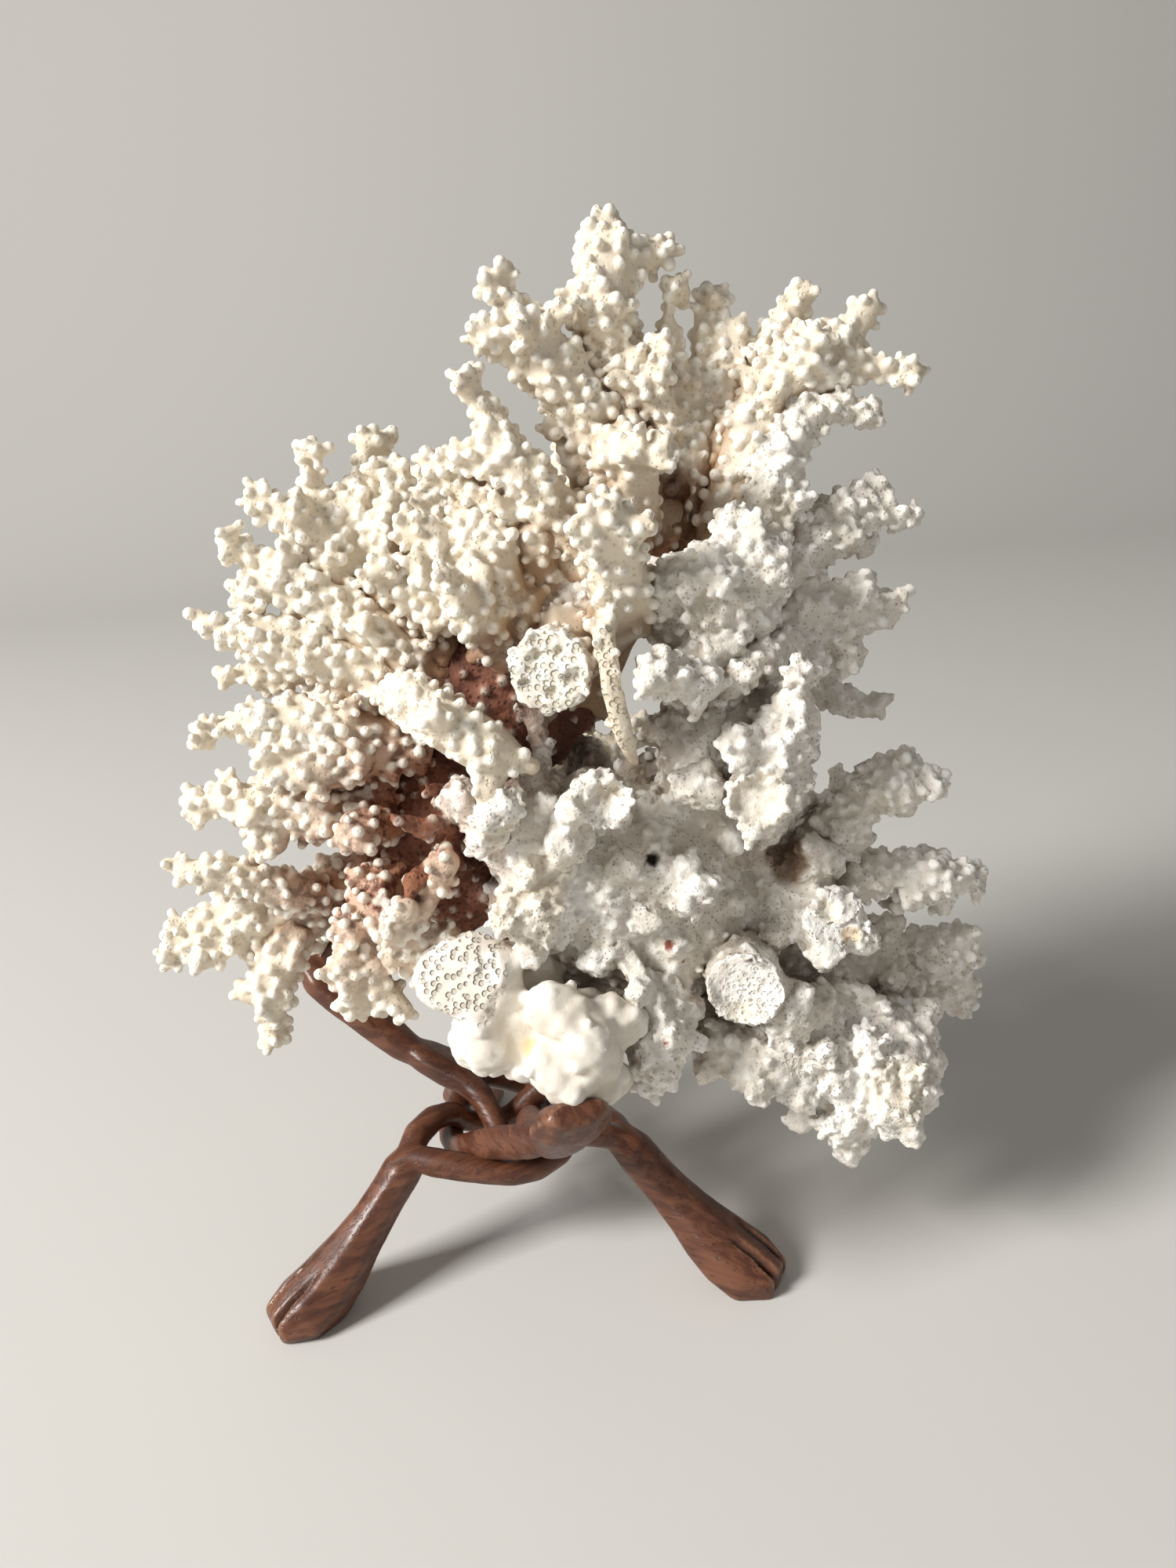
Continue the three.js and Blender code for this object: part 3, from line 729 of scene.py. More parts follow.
def start_material(slot: Slot) -> tuple[bpy.types.Material, Nodes, bpy.types.Node, bpy.types.NodeSocket]:
    """Makes a material with its shader.

    Args:
        slot: The slot that it finishes.

    Returns:
        The material, its nodes, its shader and the place on the object as a vector.
    """
    material = bpy.data.materials.new(slot.value)
    material.use_nodes = True
    nodes = Nodes(material.node_tree)
    shader = material.node_tree.nodes["Principled BSDF"]
    return material, nodes, shader, nodes.add("ShaderNodeTexCoord").outputs["Object"]


@dataclass(frozen=True)
class CoralFinish:
    """The skeleton's colour in its hollows and on its knobs, with its cups, stains and specks, and painted
    shade in the hollows and between the limbs.
    """

    slot: Slot
    # The hollow colour, between the knobs, is the rust core's own brown; on the ivory and chalk it is partly
    # painted shade against the lighter knob tops.
    hollow_tone_and_shade: Colour
    knob: Colour
    patch: Colour
    patch_share: float
    pore: Colour
    pore_strength: float
    pores_per_metre: float
    pore_width: float
    patchiness: float
    speck: Colour
    speck_share: float
    roughness: float
    glow: float  # how much light soaks in
    painted_shade: Colour  # painted shade, laid deep between the limbs
    crumbs_per_metre: float  # how fine its roughness is
    crumb_height: float  # how rough it is, in millimetres
    # how strongly the painted shade between the limbs shows
    painted_shade_share: float = 0.85
    rust_share: float = 1.0

    def material(self, effects: Effects) -> bpy.types.Material:
        """Builds the material.

        Args:
            effects: The shared node groups.

        Returns:
            The material.
        """
        material, nodes, shader, place = start_material(self.slot)
        height, rust, shelter, pitted = (nodes.read(name) for name in ("height", "rust", "shelter", "pitted"))
        patch = nodes.effect(effects.mottle, place).outputs["Patch"]
        # darker between the knobs and lighter on their tops: partly the real tone, partly painted shade
        base = nodes.mix(nodes.ramp(height, 0.0, 1.0), self.hollow_tone_and_shade, self.knob)
        base = nodes.mix(nodes.times(patch, self.patch_share), base, self.patch)
        # painted shade deep between the limbs, weaker on the knob tops
        painted_shade = nodes.times(nodes.ramp(shelter, 0.3, 0.8), nodes.ramp(height, 0.0, 1.0, 1.0, 0.35))
        base = nodes.mix(nodes.times(painted_shade, self.painted_shade_share), base, self.painted_shade)
        broken = nodes.effect(effects.mottle, place, Per_Metre=260.0).outputs["Patch"]
        spread = nodes.math("MULTIPLY_ADD", broken, 0.55, 0.5)
        stain = nodes.times(rust, spread, nodes.ramp(height, 0.3, 0.95, 1.0, 0.06), self.rust_share)
        base = nodes.mix(stain, base, nodes.mix(nodes.ramp(broken, 0.1, 0.8), RUST_PALE, RUST_DARK))
        sizes = {"Per_Metre": self.pores_per_metre, "Width": self.pore_width, "Patchiness": self.patchiness}
        pores = nodes.effect(effects.pores, place, **sizes)
        base = nodes.mix(nodes.times(pores.outputs["Pore"], pitted, self.pore_strength), base, self.pore)
        tint = nodes.add("ShaderNodeAttribute", {"attribute_name": "tint"})
        comb = nodes.effect(effects.pores, place, Per_Metre=COMB_PER_METRE, Width=0.5, Patchiness=0.0)
        cups = nodes.times(comb.outputs["Pore"], nodes.math("SUBTRACT", 1.0, tint.outputs["Alpha"]))
        base = nodes.mix(nodes.times(cups, 0.5), base, self.pore)
        specks = nodes.effect(effects.specks, place, Share=self.speck_share).outputs["Speck"]
        base = nodes.mix(nodes.times(specks, pitted), base, self.speck)
        nodes.feed(shader.inputs["Base Color"], nodes.mix(1.0, base, tint.outputs["Color"], "MULTIPLY"))
        sizes = {"Scale": self.crumbs_per_metre, "Detail": 6.0, "Roughness": 0.65}
        crumbs = nodes.add("ShaderNodeTexNoise", Vector=place, **sizes)
        rough = nodes.times(crumbs.outputs[0], self.crumb_height)
        rough = nodes.math("MULTIPLY_ADD", pores.outputs["Height"], 0.3, rough)
        rough = nodes.math("SUBTRACT", nodes.times(rough, pitted), nodes.times(cups, 0.9))
        nodes.feed(shader.inputs["Normal"], nodes.relief(rough, 0.9, MM))
        shader.inputs["Roughness"].default_value = self.roughness
        shader.inputs["Subsurface Weight"].default_value = self.glow
        shader.inputs["Subsurface Radius"].default_value = (1.0, 0.75, 0.5)
        shader.inputs["Subsurface Scale"].default_value = 2.0 * MM
        return material


COMB_PER_METRE = 520.0
RUST_PALE = tone(184, 118, 88)
RUST_DARK = tone(106, 62, 44)

IVORY = CoralFinish(
    slot=Slot.IVORY,
    hollow_tone_and_shade=tone(224, 212, 191),
    knob=tone(242, 237, 226),
    patch=tone(230, 219, 200),
    patch_share=0.35,
    pore=tone(196, 178, 146),
    pore_strength=0.3,
    pores_per_metre=620.0,
    pore_width=0.34,
    patchiness=0.8,
    speck=tone(206, 176, 140),
    speck_share=0.03,
    roughness=0.6,
    glow=0.15,
    painted_shade=tone(158, 124, 90),
    crumbs_per_metre=520.0,
    crumb_height=0.35,
)
CHALK = CoralFinish(
    slot=Slot.CHALK,
    hollow_tone_and_shade=tone(230, 224, 214),
    knob=tone(249, 246, 240),
    patch=tone(224, 213, 194),
    patch_share=0.4,
    pore=tone(150, 140, 128),
    pore_strength=0.5,
    pores_per_metre=760.0,
    pore_width=0.3,
    patchiness=1.0,
    speck=tone(70, 56, 50),
    speck_share=0.025,
    roughness=0.85,
    glow=0.05,
    painted_shade=tone(142, 126, 108),
    painted_shade_share=0.8,
    crumbs_per_metre=400.0,
    crumb_height=1.0,
    rust_share=0.6,
)
RUST = CoralFinish(
    slot=Slot.RUST,
    hollow_tone_and_shade=tone(146, 94, 68),
    knob=tone(238, 224, 208),
    patch=tone(114, 78, 62),
    patch_share=0.6,
    pore=tone(78, 48, 40),
    pore_strength=0.7,
    pores_per_metre=560.0,
    pore_width=0.42,
    patchiness=0.3,
    speck=tone(236, 226, 212),
    speck_share=0.03,
    roughness=0.75,
    glow=0.0,
    painted_shade=tone(92, 56, 48),
    crumbs_per_metre=480.0,
    crumb_height=0.8,
    rust_share=0.4,
)


@dataclass(frozen=True)
class WoodFinish:
    """Carved dark red wood, hand-rubbed, paler on its sharply rounded edges as wear and painted highlight."""

    dark: Colour = tone(80, 48, 35)
    light: Colour = tone(112, 72, 53)
    # the pale edges: rubbed wear and painted highlight
    worn_and_highlit: Colour = tone(162, 120, 94)
    # the wood's open pores, also painted as shade in the toe grooves
    pore: Colour = tone(38, 23, 18)

    def material(self, effects: Effects) -> bpy.types.Material:
        """Builds the material.

        Args:
            effects: The shared node groups.

        Returns:
            The material.
        """
        material, nodes, shader, _ = start_material(Slot.ROSEWOOD)
        along = nodes.add("ShaderNodeAttribute", {"attribute_name": "along"}).outputs["Vector"]
        grain = nodes.effect(effects.grain, along, Per_Metre=340.0)
        streak, pore = grain.outputs["Streak"], grain.outputs["Pore"]
        patch = nodes.effect(effects.mottle, along, Per_Metre=45.0).outputs["Patch"]
        base = nodes.mix(streak, self.dark, self.light)
        base = nodes.mix(nodes.times(patch, 0.35), base, self.dark)
        # paler on sharply rounded edges: wear and painted highlight
        base = nodes.mix(nodes.times(nodes.read("height"), 0.55), base, self.worn_and_highlit)
        base = nodes.mix(nodes.times(pore, 0.6), base, self.pore)
        # painted shade in the toe grooves
        base = nodes.mix(nodes.times(nodes.read("cut"), 0.85), base, self.pore)
        nodes.feed(shader.inputs["Base Color"], base)
        nodes.feed(shader.inputs["Roughness"], nodes.ramp(patch, 0.0, 1.0, 0.34, 0.5))
        raised = nodes.math("MULTIPLY_ADD", streak, 0.6, nodes.math("SUBTRACT", 1.0, pore))
        nodes.feed(shader.inputs["Normal"], nodes.relief(raised, 0.35, 0.3 * MM))
        return material


# The colony


@dataclass(frozen=True)
class Growth:
    """How one kind of coral surface grows or wears. Lengths are in millimetres."""

    knob_spacing: float
    knob_radius: float
    knob_length: float
    lean: float = 0.45  # how far knobs lean out from the colony's heart
    bare: float = 0.12  # the share of a limb, from its root, where knobs are few
    few: float = 0.25  # the share of knobs left there
    shaded: float = 0.7  # the share of knobs left on the side away from the light
    lobe_spacing: float = 11.0
    lobe_radius: float = 2.5
    lobe_length: float = 4.0
    bulb: float = 1.0  # how much wider a tip is than the limb
    shrink: float = 1.2  # how much thinner a limb is under its knobs than its solid
    rounding: int = 5  # how many times its solid is smoothed
    finish: int = 1  # how many times the finished skin is smoothed
    reliefs: tuple[Relief, ...] = ()
    voxel: float = 0.6  # the size of the finished skin's faces
    kept: float = 0.42  # the share of them that is kept, the flattest going first
    pitted: float = 1.0  # how strongly its fine cups and crumbs show


LIVING = Growth(3.1, 1.65, 2.4, lean=0.25, shrink=0.45)
STEM = Growth(3.5, 1.55, 2.0, lean=0.3, bare=0.5, lobe_spacing=0.0, bulb=0.0, shrink=0.4)
SMOOTH = Growth(3.1, 1.6, 2.2, lean=0.3, bare=0.5, few=0.18, lobe_spacing=0.0, bulb=0.0, shrink=0.6)
WORN = Growth(
    3.1, 1.55, 1.9, lean=0.2, lobe_spacing=10.0, lobe_length=3.4, bulb=0.8, shrink=0.7, voxel=0.64, kept=0.43,
    reliefs=(Relief("VORONOI", 2.6, 1.1), Relief("CLOUDS", 1.2, 1.2)),
)
ENCRUSTED = Growth(
    4.4, 1.4, 1.3, lean=0.2, bare=0.0, shaded=0.5, lobe_spacing=12.0, lobe_radius=4.0, lobe_length=2.8,
    bulb=0.0, shrink=0.3, voxel=0.64, kept=0.4,
    reliefs=(Relief("CLOUDS", 7.0, 2.6), Relief("VORONOI", 3.2, 1.4), Relief("CLOUDS", 1.3, 1.3)),
)
PLATE = Growth(
    6.0, 1.2, 1.0, lean=0.0, bare=0.0, shaded=0.5, lobe_spacing=0.0, bulb=0.0, shrink=0.0, voxel=0.64,
    reliefs=(Relief("VORONOI", 3.2, 0.8), Relief("CLOUDS", 1.3, 1.1)),
)
PORCELAIN = Growth(
    12.0, 2.0, 1.0, lean=0.0, bare=0.0, lobe_spacing=0.0, bulb=0.0, shrink=0.0,
    rounding=3, finish=2, voxel=0.7, pitted=0.1,
    reliefs=(Relief("VORONOI", 11.0, -2.8), Relief("VORONOI", 4.5, -1.3), Relief("CLOUDS", 6.0, 1.2)),
)
CORE = Growth(
    4.5, 1.5, 1.9, lean=0.1, bare=0.0, shaded=0.5, lobe_spacing=0.0, bulb=0.0, shrink=0.2,
    reliefs=(Relief("CLOUDS", 6.0, 1.6), Relief("CLOUDS", 1.2, 0.7)), voxel=0.7,
)
FAR_VOXEL = 1.3  # how much coarser the far side's limbs are
FAR_KEPT = 0.75  # the share of their faces that is kept, beside a near limb's
JOINT_SWELL = 0.7  # how far a limb grows into its neighbour at a fork, in millimetres
JOINT_EDGE = 1.0  # how far from its neighbour it is still at its thickest, in millimetres
JOINT_REACH = 4.0  # over what length past that it thins, in millimetres
COVER_DEPTH = 1.4  # how deep against a neighbour a knob is looked for, in millimetres
COVER_GAP = 0.2  # how far off its neighbour a knob can be seen, in millimetres
TIP_REACH = 9.0  # how far round itself a tip reaches furthest, in millimetres
TIP_WIDTH = 6.5
TIP_LENGTH = 13.0  # how far down from its end a tip's finger starts, in millimetres
LEAST_TIP, MOST_TIP = 3.3, 5.6  # a tip's radius under its knobs, in millimetres
TIP_INSET = 1.15  # how far its last ball lies from the solid's end, in its radii
TIP_ROOT = 1.1  # how much wider its first ball is
TIP_STUNT = 0.55  # how much shorter knobs are on a limb's end
STUNT_FROM, STUNT_RANGE = 0.5, 0.4  # from how straight out they are shorter, and how fast
STAIN_REACH, STAIN_FALL = 1.6, 1.3  # how far a rust spot stains, and how fast that fades
MOST_GIRTH = 60.0  # the girth that is taken where none can be measured, in millimetres
GIRTH_START = 0.2  # how deep under the surface its measuring starts, in millimetres
LEAST_HALF = 3.0  # half the girth that a thin limb keeps under its knobs, in millimetres
MOST_SWELL = 0.6  # how much a limb that is thinner than that is thickened, in millimetres
STEM_VOXEL = 1.0  # the size of the faces of a limb without its lobes, in millimetres
SKIN_VOXEL = 0.9  # and of a limb without its knobs
LOBE_BALLS = (0.1, 0.7)  # where the balls of a lobe lie along it
KNOB_BALLS = ((0.0, 1.0), (0.5, 0.95), (1.0, 1.08))  # where those of a knob lie, with their widths
LOBE_LENGTHS, LOBE_WIDTHS = (0.4, 1.0), (0.85, 1.15)  # the least and most of a lobe, beside its usual size
KNOB_LENGTHS, KNOB_WIDTHS = (0.6, 1.25), (0.7, 1.15)  # and of a knob
ROOT_ENDS = (0.8, 1.2)  # and of how far a limb's bare root reaches
CRUMB_SPACING = 1.5  # how far apart crumbs lie, beside their size
CRUMB_WIDTHS, CRUMB_LIFTS = (0.45, 1.25), (-0.6, 0.9)  # the least and most of their radius and of their lift
CRUMB_STRETCHES = (0.8, 1.6)  # and of how many times longer than wide they are
LOBE_DRAW, KNOB_SCATTER, KNOB_DRAW = 1, 2, 3  # what each random draw adds to its piece's own number
CRUMB_SCATTER, CRUMB_DRAW, ROOM_DRAW = 10, 30, 50
KNOB_TOP = 0.75  # the share of a knob's length past which it has its top's colour
LIT = -0.15  # how far round from the light's side a limb still has all its knobs
LIGHT_SIDE = Vector((-0.85, -0.2, 0.5)).normalized()

PLAIN: Colour = (1.0, 1.0, 1.0, 1.0)
CLEAN: Colour = (1.03, 1.03, 1.03, 1.0)
PEARL: Colour = (0.9, 0.885, 0.86, 1.0)
BONE: Colour = (0.95, 0.92, 0.86, 1.0)
# painted shade: greys the dents
DENT_SHADE: Colour = (0.87, 0.86, 0.85, 1.0)
BLEACHED: Colour = (1.02, 1.07, 1.15, 1.0)
TAN: Colour = (0.72, 0.6, 0.46, 1.0)
YOLK: Colour = (0.98, 0.86, 0.6, 1.0)
BRICK: Colour = (0.3, 0.09, 0.06, 1.0)
# painted shade: near black inside holes
HOLE_SHADE: Colour = (0.05, 0.04, 0.035, 1.0)
# painted shade: dark brown in deep cavities and clefts
CAVITY_SHADE: Colour = (0.38, 0.29, 0.23, 1.0)


@dataclass(frozen=True)
class Mark:
    """A break, pit, stain or patch of painted shade, at the pixel where the photograph shows it. Lengths are
    in millimetres.
    """

    seen: tuple[float, float]
    radius: float
    tint: Colour = PLAIN
    depth: float = 0.0
    rim: float = 0.0
    flat: float = 0.0  # how nearly its face is broken off flat
    crust: float = 0.0  # the size of the crumbs on it
    longer: float = 1.0  # how many times higher than wide it is
    comb: float = 0.0  # how strongly its honeycomb of cups shows


MARK_WANDER = 0.09  # how far a mark's outline strays from round
MARK_REACH = 1.6  # how far out from its middle a mark changes the skin, in its radii, as all of these
FACE_EDGE, FACE_FALL = 1.02, 0.12  # where its flat face ends, and how fast
FACING_REACH = 1.1  # how far out the way that it faces is measured
FACING_SLACK = -0.2  # how far round from that way the points of its side may face
RIM_PLACE, RIM_WIDTH = 1.08, 0.14
RIM_WAVES = 9
TINT_EDGE, TINT_FALL = 1.15, 0.3  # where its colour ends, and how fast
MARKS = (
    Mark((700, 858), 11.5, BLEACHED, flat=0.7, rim=1.5, crust=0.7, comb=0.9),
    Mark((683, 840), 2.4, BONE, depth=1.8),
    Mark((732, 866), 3.0, DENT_SHADE, depth=1.8, rim=0.7),
    Mark((713, 832), 1.6, BONE, depth=1.4),
    Mark((670, 874), 1.8, DENT_SHADE, depth=1.6),
    Mark((705, 884), 2.0, BONE, depth=1.6),
    Mark((718, 758), 9.0, BLEACHED, crust=1.2),
    Mark((790, 830), 7.0, PLAIN, comb=0.9),
    Mark((786, 880), 7.0, PLAIN, comb=0.9),
    Mark((795, 930), 7.0, PLAIN, comb=0.7),
    Mark((770, 1018), 7.5, CLEAN, depth=2.2, rim=1.6, flat=0.4, crust=0.9),
    Mark((776, 1012), 3.0, BONE, depth=1.8),
    Mark((640, 1068), 6.0, BONE, depth=0.8, crust=0.9),
    Mark((672, 1060), 7.0, CLEAN, flat=0.7),
    Mark((700, 1110), 8.0, BONE, crust=1.1),
    Mark((670, 1168), 10.0, BONE, crust=1.2),
    Mark((712, 1180), 10.0, PLAIN, crust=1.1),
    Mark((742, 1140), 8.0, PLAIN, crust=0.9),
    Mark((760, 1225), 6.0, PLAIN, crust=0.8),
    Mark((833, 1096), 1.9, HOLE_SHADE, depth=3.0, rim=0.4),
    Mark((968, 1019), 7.0, BONE, depth=1.0, rim=1.3, flat=0.8, crust=0.6),
    Mark((1006, 1094), 7.0, CAVITY_SHADE, depth=1.6),
    Mark((1031, 1286), 6.0, CAVITY_SHADE, depth=1.5),
    Mark((1068, 1176), 9.5, CLEAN, depth=1.6, rim=1.6, flat=0.8, crust=0.9),
    Mark((1058, 1162), 3.4, BONE, depth=1.8, rim=0.6),
    Mark((1086, 1194), 2.8, TAN, depth=1.4),
    Mark((951, 1263), 10.5, CLEAN, depth=1.2, rim=1.4, flat=0.9, crust=0.6, comb=0.4),
    Mark((940, 1290), 3.0, BONE, depth=0.8),
    Mark((955, 1226), 1.2, HOLE_SHADE, depth=1.2, longer=0.6),
    Mark((978, 1322), 1.2, HOLE_SHADE, depth=2.2, longer=2.2),
    Mark((852, 1206), 1.6, BRICK, depth=0.4),
    Mark((872, 1225), 1.0, BRICK),
    Mark((848, 1330), 0.9, BRICK),
    Mark((590, 1243), 12.0, CLEAN, rim=0.8, flat=0.5, comb=1.0),
    Mark((720, 1320), 34.0, PEARL),
    Mark((677, 1339), 3.2, YOLK, depth=1.0),
    Mark((944, 1400), 6.0, BONE, depth=1.8, rim=1.4, flat=0.6),
    Mark((1000, 1300), 8.0, CLEAN, comb=0.5),
    Mark((1030, 1345), 8.0, CLEAN, comb=0.5),
    Mark((1090, 1300), 10.0, PLAIN, crust=1.4),
    Mark((1120, 1350), 10.0, PLAIN, crust=1.4),
    Mark((1060, 1400), 10.0, PLAIN, crust=1.3),
    Mark((1150, 1390), 9.0, BONE, depth=1.4, crust=1.2),
    Mark((836, 1385), 8.0, PLAIN, crust=1.2),
    Mark((860, 900), 10.0, PLAIN, crust=1.1),
    Mark((900, 1010), 7.0, DENT_SHADE, depth=1.2, rim=0.6),
    Mark((762, 1085), 5.0, DENT_SHADE, depth=1.2, rim=0.5),
    Mark((820, 1160), 9.0, DENT_SHADE, depth=1.6),
    Mark((905, 1160), 7.0, DENT_SHADE, depth=1.4, rim=0.4),
    Mark((990, 655), 5.0, BONE, depth=0.8, rim=0.6),
    Mark((908, 590), 4.0, TAN),
    Mark((860, 650), 5.0, CAVITY_SHADE, depth=3.0, longer=2.5),
)

RUST_SPOTS: list[Station] = [  # where the rust-brown growth has stained the skeleton
    (-14, -20, 150, 36),
    (-32, -18, 132, 30),
    (-34, -22, 114, 14),
    (4, -22, 178, 22),
    (-4, -16, 118, 28),
    (24, -14, 190, 14),
    (66, 6, 232, 9),
    (60, -2, 214, 8),
    (52, -6, 214, 7),
]


@dataclass(frozen=True)
class Twig:
    """A small limb, at the pixels where the photograph shows it.

    Each point of its path is a pixel's place across and down, with the radius there in millimetres. Its two
    ends lie on what is behind them, and it runs straight between them, as far in front as its lift.
    """

    path: tuple[tuple[float, float, float], ...]
    node: str = ""  # what it grows from, where that isn't what lies behind its root
    lift: float = 0.0

    def root(self) -> str:
        """Returns the node that it grows from."""
        return self.node or COLONY.behind(*self.path[0][:2])[0]

    def form(self) -> Form:
        """Returns its form.

        Returns:
            The limb's form, to be fused to what it grows from.
        """
        found = [COLONY.behind(across, down)[1] for across, down, _ in self.path]
        depths = [spot.y for spot in found if spot] or [COLONY.forms[self.node].points[:, 1].mean()]
        depths = np.linspace(depths[0], depths[-1], len(self.path)) - self.lift * MM
        places = [SIGHT.at_depth(*step[:2], depth) for step, depth in zip(self.path, depths)]
        return strung(np.array(places), np.array([step[2] for step in self.path]) * MM)


def comb_of_pegs() -> list[Twig]:
    """Makes the row of parallel pegs on the bulge at the foot of the top limbs.

    Returns:
        The pegs.
    """
    pegs = []
    for index in range(COMB_PEGS):
        share = index / (COMB_PEGS - 1)
        across, rise = PEG_LEFT + PEG_SPAN * share, PEG_RISE * math.sin(math.pi * share)
        foot = (across, PEG_FOOT - rise / 2, 1.5)
        top = (across + PEG_SPLAY * (share - 0.5), PEG_TOP - rise, 1.3)
        pegs.append(Twig((foot, top), "trunk_upper", 2.0))
    return pegs


COMB_PEGS = 10
PEG_LEFT, PEG_SPAN, PEG_SPLAY = 762, 84, 8  # the row's start, its width and how far it fans out, in pixels
PEG_FOOT, PEG_TOP, PEG_RISE = 596, 560, 22  # its lower and upper edge, and how high they arch, in pixels

TWIGS = comb_of_pegs() + [
    Twig(((776, 800, 4.0), (783, 880, 3.3), (808, 975, 4.0)), "chalk_mass", 3.0),
    Twig(((664, 905, 2.2), (684, 916, 3.2), (704, 908, 2.2)), "chalk_mass", 3.0),
    Twig(((685, 914, 2.8), (688, 960, 2.6), (690, 1000, 3.4), (693, 1024, 4.2)), "chalk_mass", 3.0),
    Twig(((1003, 818, 5.0), (965, 838, 4.4), (930, 872, 4.8)), "dead_limb_lower", 1.0),
    Twig(((801, 1238, 3.0), (840, 1280, 3.2), (884, 1332, 3.4), (930, 1332, 3.2)), "chalk_mass", 2.0),
    Twig(((672, 1209, 2.6), (661, 1236, 2.5), (664, 1277, 2.2)), "porcelain_base", 1.5),
    Twig(((590, 1075, 3.2), (572, 1040, 2.4), (556, 1008, 2.0), (552, 972, 1.7)), "front_cream_limb", 3.0),
    Twig(((566, 1020, 2.0), (536, 1002, 1.7)), "front_cream_limb", 3.5),
    Twig(((592, 1078, 3.4), (540, 1062, 3.0), (486, 1043, 2.2)), "front_cream_limb", 2.5),
    Twig(((572, 1100, 3.4), (548, 1140, 3.4), (520, 1188, 4.2)), "hanging_twigs", 3.0),
    Twig(((520, 1160, 3.4), (500, 1200, 3.6)), "hanging_twigs", 2.0),
    Twig(((768, 400, 8.2), (771, 345, 7.8), (775, 312, 6.8), (772, 296, 5.6)), "crown_spire"),
    Twig(((795, 345, 5.0), (826, 326, 3.8), (852, 321, 2.6)), "crown_spire"),
    Twig(((634, 1236, 8.0), (596, 1226, 8.0), (562, 1232, 6.0)), "porcelain_base"),
    Twig(((636, 1262, 8.0), (592, 1264, 8.0), (556, 1256, 6.0)), "porcelain_base"),
    Twig(((622, 1300, 7.5), (628, 1332, 7.5)), "porcelain_base"),
    Twig(((660, 1306, 7.0), (668, 1348, 7.0)), "porcelain_base"),
    Twig(((706, 1286, 7.5), (730, 1300, 7.5)), "porcelain_base", 1.0),
    Twig(((704, 1352, 7.0), (716, 1372, 7.5)), "porcelain_base"),
    Twig(((752, 1330, 8.5), (760, 1352, 7.5)), "porcelain_base", 1.0),
    Twig(((780, 1296, 7.0), (800, 1306, 6.0)), "porcelain_base"),
    Twig(((728, 1384, 6.5), (776, 1378, 6.5)), "porcelain_base"),
    Twig(((684, 690, 7.0), (686, 716, 7.0), (692, 748, 7.0)), "trunk_upper"),
    Twig(((500, 1190, 3.6), (560, 1202, 3.2), (606, 1212, 3.0)), "hanging_twigs"),
    Twig(((505, 1210, 3.4), (540, 1240, 3.2), (548, 1262, 2.8)), "hanging_twigs"),
    Twig(((444, 1225, 3.6), (446, 1262, 3.2), (444, 1287, 2.8)), "hanging_twigs"),
    Twig(((480, 1230, 3.4), (484, 1268, 3.0), (483, 1288, 2.6)), "hanging_twigs"),
    Twig(((1002, 1296, 7.0), (1040, 1284, 7.0), (1080, 1276, 7.0)), "lower_right_knob", -4.0),
    Twig(((1075, 1430, 6.0), (1082, 1462, 4.4), (1086, 1480, 2.6))),
    Twig(((1150, 1415, 5.0), (1162, 1440, 3.6), (1167, 1452, 2.4))),
    Twig(((1150, 1010, 5.5), (1176, 1000, 4.4), (1192, 996, 3.6)), "antler_upper"),
    Twig(((1130, 1000, 4.5), (1140, 984, 3.6), (1146, 976, 2.8)), "antler_upper"),
    Twig(((1195, 1120, 5.0), (1222, 1116, 4.4), (1236, 1118, 3.4)), "antler_lower"),
    Twig(((1200, 1130, 4.5), (1206, 1146, 3.4)), "antler_lower"),
    Twig(((1170, 1128, 4.0), (1166, 1150, 3.0)), "antler_lower"),
    Twig(((1190, 1225, 6.0), (1222, 1208, 4.6), (1238, 1224, 3.6)), "right_low_arm"),
    Twig(((1200, 1260, 6.0), (1224, 1256, 5.0), (1232, 1276, 3.4)), "right_low_arm"),
    Twig(((836, 866, 4.2), (832, 850, 3.4)), lift=1.0),
    Twig(((864, 872, 3.6), (866, 864, 3.2)), lift=1.0),
    Twig(((890, 880, 3.8), (898, 872, 3.0)), lift=1.0),
    Twig(((760, 975, 5.0), (748, 958, 4.2), (736, 962, 3.2)), lift=1.0),
    Twig(((640, 1030, 5.0), (622, 1060, 4.2), (604, 1072, 3.0)), "chalk_mass", 1.5),
    Twig(((850, 1030, 3.4), (880, 1000, 3.0), (905, 975, 2.4)), lift=1.0),
]


